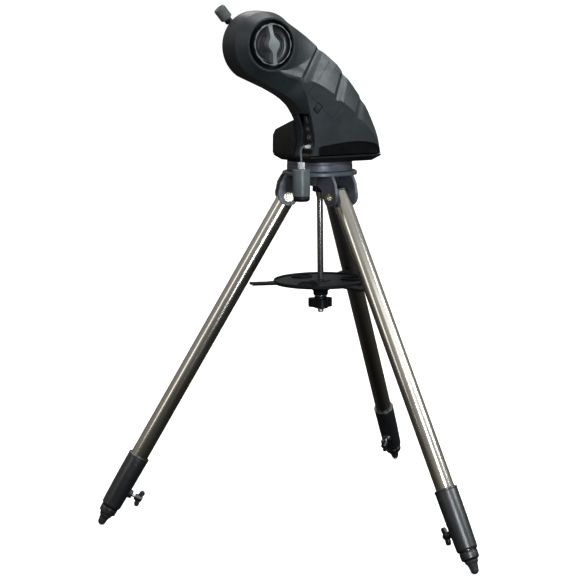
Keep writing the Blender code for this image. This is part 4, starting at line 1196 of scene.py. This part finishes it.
def guide_lines():
    """Where the skin's slope breaks: face edge, both sides of each step, undercut and latch recess."""
    lines = [arm_face()]
    for outer, inner, _ in STEPS:
        outer, inner, line, downhill = step_axes(outer, inner)
        start = inner - line * 0.004
        lines.append(notch_line(outer, inner))
        for near, far in ((0.0, 0.0), STEP_WALL):
            a, b = start + downhill * near, outer + downhill * far
            lines.append([tuple(a + (b - a) * i / 40) for i in range(41)])
    edge = curve_through(UNDERCUT, 12)
    lines.append([(x, z) for x, z in edge if x > UNDERCUT_START])
    lines.append([(x, z - 0.0012) for x, z in edge if x > UNDERCUT_START])
    low, high, half = LATCH
    for inset in (0.0, 0.0009):
        x, start, end = half - inset, low + inset, high + 0.003 - inset
        corners = [(-x, end), (-x, start), (x, start), (x, end), (-x, end)]
        lines.append([door_point(*spot) for spot in evenly(corners, 0.0008)])
    return lines


def arm_shell():
    """The moulding on the arm's outer side, and the band under its recessed lower edge, painted near-black
    as shade.
    """
    ring = arc((HUB_X, HUB_Z), RECESS_RADIUS, 0, 357, 119)
    outline = notched(arm_outline(SHOULDER_RADIUS))
    bm = skin(outline, [ring, door_loop(0.0004)], guide_lines())
    rows = []
    rim = arm_outline(BODY_RADIUS)
    heights = face_height(outline)
    for share in (0.0, 0.03, 0.1, 0.4, 0.7, 0.97, 1.0):
        row = []
        for (ax, az), (bx, bz), y in zip(outline, rim, heights):
            low = PARTING_Y - GAP / 2
            row.append((ax + (bx - ax) * share, y + (low - y) * share, az + (bz - az) * share))
        rows.append(row)
    strips(bm, rows, closed=False)
    bmesh.ops.remove_doubles(bm, verts=bm.verts, dist=0.00002)
    band = bm.copy()
    edge = np.array(curve_through(UNDERCUT, 8))

    def in_band(face):
        x, y, z = face.calc_center_median()
        return x > UNDERCUT_START and y < SHOULDER_Y and z < np.interp(x, edge[:, 0], edge[:, 1]) - 0.0011

    bmesh.ops.delete(bm, geom=[face for face in bm.faces if in_band(face)], context="FACES")
    bmesh.ops.delete(band, geom=[face for face in band.faces if not in_band(face)], context="FACES")
    shell = show("arm_outer_cover", bm, "arm", "mount", replaced=["arm_outer_shell"], sharp=16,
                 outward=(0, -1, 0))
    thicken(shell, 0.0022)
    cut(shell, block((-0.080, -0.0705, 0.6665), (-0.040, -0.0365, 0.7345)), MOUNT, solver="MANIFOLD")
    shell.data.set_sharp_from_angle(angle=math.radians(16))
    # The under-band takes the near-black look: painted shade on the downward-facing surface.
    thicken(show("arm_under_band_painted_shade", band, "black_and_painted_shade", "mount", outward=(0, -1, 0)), 0.0020)


def battery_door():
    """The square cover, which continues the arm's face, and the ribbed latch in its recess."""
    door = skin(door_loop(-0.0001), [], guide_lines())
    made = show("battery_cover", door, "arm", "door", MOUNT, replaced=["battery_door"], sharp=16,
                outward=(0, -1, 0))
    thicken(made, 0.0022, 16)
    low, _, half = LATCH
    tab = bmesh.new()
    for i in range(4):
        y = low + 0.0036 + 0.0019 * i
        block((-half + 0.0014, y, 0.0285), (half - 0.0014, y + 0.0011, 0.0299), tab)
    block((-half + 0.0012, low + 0.0030, 0.0268), (half - 0.0012, -DOOR_WIDTH / 2 + 0.003, 0.0288), tab)
    show("door_latch", tab, "arm", "door", bevel=0.0003)


def hub_trim():
    """The thin bright-edged ring round the knob's recess, and the cup inside it, painted near-black as the
    recess's shade.
    """
    ring = turned([(RECESS_RADIUS - 0.0004, 0.0735), (RING_RADIUS - 0.0014, 0.0735),
                   (RING_RADIUS - 0.0014, 0.0757), (RECESS_RADIUS + 0.0006, 0.0757)], 0.0007, 160)
    show("hub_ring", ring, "arm", "mount", HUB)
    floor_level = -RECESS_FLOOR_Y
    cup = turned([(0.0120, floor_level - 0.0020), (RECESS_RADIUS - 0.0002, floor_level - 0.0020),
                  (RECESS_RADIUS - 0.0002, 0.0740), (RECESS_RADIUS - 0.0014, 0.0740),
                  (RECESS_RADIUS - 0.0014, floor_level), (0.0120, floor_level)], 0.0006, 160)
    # Painted shade: the cup is near-black for the darkness inside the recess.
    show("recess_cup_painted_shade", cup, "black_and_painted_shade", "mount", HUB)


def arm_inner():
    """The moulding towards the telescope: a rounded back edge and the bearing's raised seat."""
    outline = arm_outline(BODY_RADIUS)
    middle = np.array(outline)
    tangent = np.gradient(middle, axis=0)
    normal = np.stack([tangent[:, 1], -tangent[:, 0]], axis=1)
    normal /= np.maximum(np.hypot(*normal.T)[:, None], 1e-9)
    round_off = 0.0035
    rows = [(PARTING_Y + GAP / 2, 0.0)]
    rows += [(ARM_BACK_Y - round_off * (1 - math.sin(math.radians(a))),
              round_off * (1 - math.cos(math.radians(a)))) for a in range(0, 91, 15)]
    bm = bmesh.new()
    rings = []
    for y, inset in rows:
        moved = middle - normal * inset
        moved[:, 1] = np.maximum(moved[:, 1], SEAM + GAP)
        rings.append([(x, y, z) for x, z in moved])
    made = strips(bm, rings, closed=False)
    bm.faces.new(made[-1])
    shell = show("arm_inner_cover", bm, "arm", "mount", replaced=["arm_inner_shell"], outward=(0, 1, 0))
    thicken(shell, 0.0022)
    disc = turned([(SADDLE_RADIUS * 0.42, 0.0074), (0.0490, 0.0074), (0.0500, 0.0086), (0.0512, 0.0124),
                   (SADDLE_RADIUS * 0.42, 0.0124)], 0.0006, 128)
    show("altitude_seat", disc, "arm", "mount", HUB)
    screws = bmesh.new()
    for x, z in ((-0.172, 0.812), (-0.095, 0.802), (-0.060, 0.846), (-0.030, 0.795), (0.012, 0.770),
                 (0.046, 0.735), (-0.046, 0.745)):
        back = frame_at((x, ARM_BACK_Y, z), (0, 1, 0), (1, 0, 0))
        turned([(0.0030, -0.001), (0.0046, -0.001), (0.0042, 0.0006), (0.0030, 0.0006)], 0.0002, 32, screws,
               back)
        screw_head(0.0028, -0.0003, (0.0018, -0.0006), screws, back, 0.002)
    show("arm_screws", screws, "zinc", "mount")


# Ports, switch and battery box

def panel():
    """The strip with its four cut-outs, drawn as a plate in the y-z plane."""
    face = frame_at((PANEL_X, 0, 0), (-1, 0, 0), (0, 1, 0))
    low, high = (-0.0700, 0.6672), (-0.0370, 0.7338)
    strip = block((low[0], -high[1], -0.001), (high[0], -low[1], 0.001))
    made = show("port_strip", strip, "plastic", "mount", MOUNT @ face, replaced=["port_panel"])
    for y, z, wide, tall in PORTS.values():
        cut(made, block((y - wide / 2, -z - tall / 2, -0.01), (y + wide / 2, -z + tall / 2, 0.01)),
            MOUNT @ face)
    rims = bmesh.new()
    for y, z, wide, tall in PORTS.values():
        a, b = wide / 2 + 0.0010, tall / 2 + 0.0010
        for along_y, along_z, size_y, size_z in ((0, b, a, 0.0004), (0, -b, a, 0.0004), (a, 0, 0.0004, b),
                                                 (-a, 0, 0.0004, b)):
            block((y + along_y - size_y, -z + along_z - size_z, 0.0008),
                  (y + along_y + size_y, -z + along_z + size_z, 0.0016), rims)
    show("port_rims", rims, "gloss", "mount", MOUNT @ face)


def power_switch():
    """A rocker whose two faces meet at a slight angle."""
    y, z, wide, high = PORTS["switch"]
    half = high / 2 - 0.0012
    outline = [(-0.0030, -half), (0.0030, -half), (0.0038, -half / 2), (0.0045, 0.0), (0.0049, half / 2),
               (0.0052, half), (-0.0030, half)]
    rocker = prism(outline, -wide / 2 + 0.0007, wide / 2 - 0.0007)
    show("rocker", rocker, "gloss", "switch", MOUNT @ frame_at((PANEL_X, y, z), (0, 1, 0), (-1, 0, 0)),
         replaced=["power_switch"], bevel=0.0005, segments=3)


SOCKETS = {"remote_jack": "remote", "power_jack": "power", "hand_control_socket": "control"}


def sockets():
    """Three moulded sockets with metal contacts."""
    for name, port in SOCKETS.items():
        y, z, wide, high = PORTS[port]
        wide, high = wide / 2 - GAP, high / 2 - GAP
        body = block((PANEL_X - 0.003, y - wide, z - high), (PANEL_X + 0.0125, y + wide, z + high))
        made = show(name + "_body", body, "gloss", "mount", replaced=[name])
        outwards = frame_at((PANEL_X + 0.008, y, z), (-1, 0, 0), (0, 1, 0))
        if port == "control":
            cut(made, block((-0.0038, -0.0034, 0), (0.0038, 0.0034, 0.02)), MOUNT @ outwards)
            continue
        bore = 0.0014 if port == "remote" else 0.0032
        cut(made, pipe(0, bore, 0, 0.02, 0, 48), MOUNT @ outwards)
        face = -(PANEL_X - 0.003) + (PANEL_X + 0.008)
        collar = pipe(bore, bore + 0.0007, face - 0.002, face + 0.0004, 0.0001, 48)
        if port == "power":
            turned([(0, 0.0005), (0.0010, 0.0005), (0.0010, face - 0.001), (0, face - 0.0006)], 0.0002, 32,
                   collar)
        show(name + "_contact", collar, "bright", "mount", MOUNT @ outwards, slot="polished_steel")


def battery_box():
    """An open box with a row of four cells, every other one turned round, and the contact plates."""
    x, z, wall = DOOR_LENGTH / 2 - 0.0015, DOOR_WIDTH / 2 - 0.0015, 0.0015
    box = block((-x, -z, -0.017), (x, z, 0.011))
    made = show("battery_box", box, "plastic", "mount", DOOR, replaced=["battery_holder"])
    cut(made, block((-x + wall, -z + wall, -0.0155), (x - wall, z - wall, 0.02)), DOOR)
    cells, bands, ends = bmesh.new(), bmesh.new(), bmesh.new()
    for i in range(4):
        centre_x = -x + wall + CELL_RADIUS + 0.0009 + i * (2 * CELL_RADIUS + 0.0008)
        up = 1 if i % 2 else -1
        along_cell = frame_at((centre_x, -up * CELL_LENGTH / 2, CELL_LEVEL), (0, up, 0), (1, 0, 0))
        band, end = CELL_LENGTH * 0.72, CELL_LENGTH * 0.97
        pipe(0, CELL_RADIUS, 0, band, 0.0006, 48, cells, along_cell)
        pipe(0, CELL_RADIUS, band, end, 0.0006, 48, bands, along_cell)
        pipe(0, 0.0027, end, CELL_LENGTH, 0.0003, 32, ends, along_cell)
    show("battery_cells", cells, "gloss", "mount", DOOR)
    show("battery_bands", bands, "copper", "mount", DOOR)
    for side in (-1, 1):
        edge = side * (z - wall - 0.0005)
        block((-x + wall + 0.001, edge - 0.0003, -0.0145), (x - wall - 0.001, edge + 0.0003, -0.0015), ends)
    show("battery_contacts", ends, "bright", "mount", DOOR)


# Altitude axis

def clutch_cup():
    """The knob's scalloped cup, and a pale ring round its rim that is a painted highlight on the rim's edge.
    """
    back, front, floor_level, inner, outer = KNOB_BACK, KNOB_FRONT, KNOB_FLOOR, KNOB_INNER, KNOB_RADIUS
    bm = bmesh.new()

    def ring(radius, height, share=0.0):
        def dipped(angle):
            return radius - share * SCALLOP_DEPTH * (0.5 - 0.5 * math.cos(SCALLOPS * angle)) ** 3

        return [(x, y, height) for x, y in lobed(dipped, 240)]

    rings = [ring(0.008, back), ring(outer - 0.002, back), ring(outer - 0.0004, back + 0.0015, 0.5),
             ring(outer, back + 0.003, 1), ring(outer, front - 0.0012, 1),
             ring(outer - 0.0003, front - 0.0004, 1), ring(outer - 0.0010, front, 1),
             ring(inner + 0.0007, front), ring(inner, front - 0.0006),
             ring(inner - 0.0006, floor_level + 0.003), ring(inner - 0.0030, floor_level + 0.0006),
             ring(inner - 0.0055, floor_level), ring(0.008, floor_level)]
    made = strips(bm, rings)
    for face in (made[0], made[-1]):
        bm.faces.new(face)
    show("clutch_cup", bm, "gloss", "clutch", replaced=["clutch_knob"], sharp=40)
    # Pale grey ring: a painted highlight along the rim's edge.
    rim = bmesh.new()
    strips(rim, [ring(outer - 0.0024, front - 0.0002), ring(outer - 0.0022, front + 0.0007),
                 ring(outer - 0.0010, front + 0.0007, 1), ring(outer - 0.0006, front - 0.0002, 1)])
    show("clutch_rim_painted_highlight", rim, "pale_grey_and_highlight", "clutch", sharp=50)


def clutch_bar():
    """The waisted bar across the cup, which falls off in a curve at its ends, and a rib on each side."""
    upright = Matrix.Rotation(math.radians(98), 4, "Z")
    half = KNOB_INNER + 0.0004
    side = curve_through([(half, 0.0042), (0.026, 0.0035), (0.018, 0.0033), (0.0125, 0.0042),
                          (0.0088, 0.0064)], 6)
    boss = arc((0, 0), 0.0104, 42, 138, 18)
    upper = side + boss + [(-x, y) for x, y in reversed(side)]
    outline = upper + [(x, -y) for x, y in reversed(upper)]
    bar = prism(outline, KNOB_FLOOR - 0.0005, KNOB_FRONT - 0.0008)
    bmesh.ops.triangulate(bar, faces=[face for face in bar.faces if len(face.verts) > 4])
    for vertex in bar.verts:
        if vertex.co.z > KNOB_FRONT - 0.002:
            vertex.co.z += float(0.0055 * smooth(1 - abs(vertex.co.x) / half))
    show("clutch_bar", bar, "pale_grey_and_highlight", "clutch", HUB @ upright, bevel=0.0011, segments=3)
    for name, start in (("a", -62), ("b", 118)):
        rib = arc((0, 0), 0.0215, start, start + 124, 30) + arc((0, 0), 0.0232, start + 124, start, 30)
        crescent = prism(rib, KNOB_FLOOR - 0.0002, KNOB_FLOOR + 0.0038)
        show("clutch_rib_" + name, crescent, "gloss", "clutch", bevel=0.0006)


def across_channel(section, length):
    """A solid along the channel from a (y, z) section, in the saddle frame."""
    turn = frame_at((0, 0, 0), (1, 0, 0), (0, 1, 0))
    return prism(section, -length / 2, length / 2, None, turn)


def saddle():
    """The dovetail's channel on its round foot, four bolts in it, and the jaw that slides along it."""
    relief = CHANNEL_FLOOR - 0.0008
    section = [(-0.036, 0.0016), (0.038, 0.0016), (0.038, SADDLE_TOP), (0.032, SADDLE_TOP),
               (0.032, CHANNEL_FLOOR), (-0.0208, CHANNEL_FLOOR), (-0.0208, relief), (-0.0222, relief),
               (-0.0185, SADDLE_TOP), (-0.036, SADDLE_TOP)]
    made = show("saddle_casting", across_channel(section, SADDLE_LENGTH), "casting", "altitude",
                replaced=["saddle_plate"])
    cut(made, pipe(0, SADDLE_RADIUS, -0.01, 0.03, 0, 128), SADDLE, "INTERSECT")
    soften(made, 0.0007, 2, 40, False)
    disc = turned([(0, -0.0066), (0.0372, -0.0066), (0.0385, -0.0053), (0.0385, 0.0016), (0, 0.0016)],
                  0.0006, 128)
    show("saddle_turntable", disc, "casting", "altitude")
    screws = bmesh.new()
    for x, y in ((-0.018, 0.005), (0.018, 0.005), (0, -0.0135), (0, 0.0185)):
        place = Matrix.Translation((x, y, CHANNEL_FLOOR))
        cap = [(0, -0.004), (0.0033, -0.004), (0.0033, -0.0006), (0.0027, -0.0003), (0.0016, -0.0003),
               (0.0016, -0.0022), (0, -0.0022)]
        turned(cap, 0.0001, 48, screws, place)
    show("saddle_bolts", screws, "zinc", "altitude")
    low, high = CHANNEL_FLOOR + GAP, SADDLE_TOP - 0.0005
    jaw = across_channel([(0.0220, low), (0.0270, low), (0.0270, high), (0.0185, high)], JAW_LENGTH)
    show("jaw_bar", jaw, "casting", "jaw", replaced=["saddle_jaw"], bevel=0.0006)


def clamp_screw():
    """A steel screw with a turned neck and a knurled knob."""
    outwards = SADDLE @ frame_at((0, 0, SCREW_LEVEL), (0, 1, 0), (1, 0, 0))
    stem = turned([(0, 0.0274), *threaded(0.0040, 0.0276, 0.0520, 0.001, 0.0005), (0, 0.0522)], 0, 48)
    show("clamp_stem", stem, "bright", "clamp_screw", outwards, slot="polished_steel",
         replaced=["saddle_screw"])
    neck = turned([(0, 0.0500), (0.0060, 0.0500), (0.0068, 0.0512), (0.0068, 0.0570), (0.0095, 0.0586),
                   (0, 0.0590)], 0.0006, 96)
    show("clamp_neck", neck, "gloss", "clamp_screw", outwards)
    show("clamp_knob", knurled(0.0582, 0.0795, 0.0107), "knob", "clamp_screw", outwards, sharp=60)


def knurled(low, high, radius):
    """A round grip with a diamond knurl and a domed end."""
    rows, diamonds, relief = 56, 24, 0.0006

    def knurl(angle, twist, edge):
        one, other = (diamonds * angle + twist) / 2, (diamonds * angle - twist) / 2
        return radius - relief + relief * abs(math.sin(one)) * abs(math.sin(other)) * edge

    def ring(radius_at, height):
        return [(x, y, height) for x, y in lobed(radius_at, 192)]

    rings = [ring(lambda angle: 0.0085, low)]
    for k in range(rows + 1):
        height = low + relief + (high - low - relief) * k / rows
        twist = diamonds * (height - low) / radius
        edge = min(1.0, (k + 0.5) / 3, (rows - k + 0.5) / 3)
        rings.append(ring(lambda angle: knurl(angle, twist, edge), height))
    for away, rise in ((0.0098, 0.0010), (0.0080, 0.0015), (0.0072, 0.0011)):
        rings.append(ring(lambda angle: away, high + rise))
    bm = bmesh.new()
    made = strips(bm, rings)
    bm.faces.new(made[0])
    bm.faces.new(made[-1])
    return bm


# Adapter on its cord

def cord_route():
    """From the plug in the hand-control socket, out, down and into the adapter's plug."""
    y, z = PORTS["control"][:2]
    start = PANEL_X - 0.0135
    return [
        (start, y, z), (start - 0.0020, y, z), (start - 0.0050, y - 0.0016, z - 0.0010),
        (-0.0752, -0.0690, 0.6740), (-0.0785, -0.0745, 0.6685), (-0.0806, -0.0790, 0.6630),
        (ADAPTER_X, ADAPTER_Y, 0.6580), (ADAPTER_X, ADAPTER_Y, 0.6546),
    ]


def plug(name, place, width, depth, length, replaced):
    """A clear modular plug with a locking tab and six gold contacts; Z runs away from the cord."""
    body = block((-width / 2, -depth / 2, 0), (width / 2, depth / 2, length))
    block((-width * 0.22, depth / 2 - 0.0002, length * 0.2),
          (width * 0.22, depth / 2 + 0.0007, length * 0.95), body)
    body = show(name + "_body", body, "clear", "mount", place, replaced=replaced, bevel=0.0003)
    contacts = bmesh.new()
    for i in range(6):
        x = width * (i - 2.5) / 7.5
        block((x - 0.00022, -depth / 2 - 0.0001, length * 0.62),
              (x + 0.00022, -depth / 2 + 0.0008, length * 0.97), contacts)
    return [body, show(name + "_contacts", contacts, "brass", "mount", place)]


def adapter():
    """The grey cylinder that hangs on its cord, its domed end and the plugs at both ends of the cord."""
    y, z = PORTS["control"][:2]
    outer = PANEL_X - 0.0135 + 0.0003
    upper = plug("socket_plug", MOUNT @ frame_at((outer, y, z), (1, 0, 0), (0, 1, 0)), 0.0062, 0.0054,
                 PANEL_X + 0.006 - outer, ["control_plug"])
    lower = plug("adapter_top_plug", MOUNT @ frame_at((ADAPTER_X, ADAPTER_Y, 0.6542), (0, 0, -1),
                                                      (1, 0, 0)), 0.0096, 0.0072,
                 0.6542 - ADAPTER_TOP - GAP, ["adapter_plug"])
    place = MOUNT @ Matrix.Translation((ADAPTER_X, ADAPTER_Y, 0))
    low = ADAPTER_BOTTOM + 0.0088
    body = turned([(0, low), (ADAPTER_RADIUS - 0.0010, low), (ADAPTER_RADIUS, low + 0.0008),
                   (ADAPTER_RADIUS, ADAPTER_TOP - 0.0016), (ADAPTER_RADIUS - 0.0012, ADAPTER_TOP - 0.0002),
                   (0.0070, ADAPTER_TOP), (0, ADAPTER_TOP)], 0.0008, 128)
    body = show("radio_adapter", body, "grey", "mount", place, replaced=["adapter_body"])
    cap = turned([(0, ADAPTER_BOTTOM), (0.0100, ADAPTER_BOTTOM), (0.0130, ADAPTER_BOTTOM + 0.0014),
                  (0.0143, ADAPTER_BOTTOM + 0.0046), (0.0144, low - GAP), (0, low - GAP)], 0.0012, 128)
    cap = show("adapter_end", cap, "plastic", "mount", place, replaced=["adapter_cap"])
    cord()


def cord():
    """The flex itself, a tube along its route from the socket to the adapter."""
    data = bpy.data.curves.new("cord", "CURVE")
    data.dimensions = "3D"
    points = [MOUNT @ Vector(p) for p in curve_through(cord_route(), 4)]
    spline = data.splines.new("POLY")
    spline.points.add(len(points) - 1)
    for point, place in zip(spline.points, points):
        point.co = (*place, 1.0)
    data.bevel_depth = CORD_RADIUS
    data.bevel_resolution = 6
    data.use_fill_caps = True
    data.materials.append(LOOKS["cord"])
    made = linked("cord", data)
    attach(made, "mount")
    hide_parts("adapter_cord")


# Inner pieces that keep their CAD shape

INNER_LOOKS = {
    "azimuth_worm_wheel": "brass", "altitude_worm_wheel": "brass", "altitude_bearing": "brass",
    "azimuth_worm": "bright", "altitude_worm": "bright", "azimuth_motor": "zinc", "altitude_motor": "zinc",
    "altitude_shaft": "rod", "circuit_board": "board",
}


def inner_pieces():
    for node, look in INNER_LOOKS.items():
        made = frame["nodes"][node]
        made.data.materials.clear()
        made.data.materials.append(LOOKS[look])


def mount():
    turntable()
    base_floor()
    base_housing()
    arm_shell()
    arm_inner()
    battery_door()
    hub_trim()
    panel()
    power_switch()
    sockets()
    battery_box()
    clutch_cup()
    clutch_bar()
    saddle()
    clamp_screw()
    adapter()
    inner_pieces()


camera()
studio()
floor()
tripod()
mount()
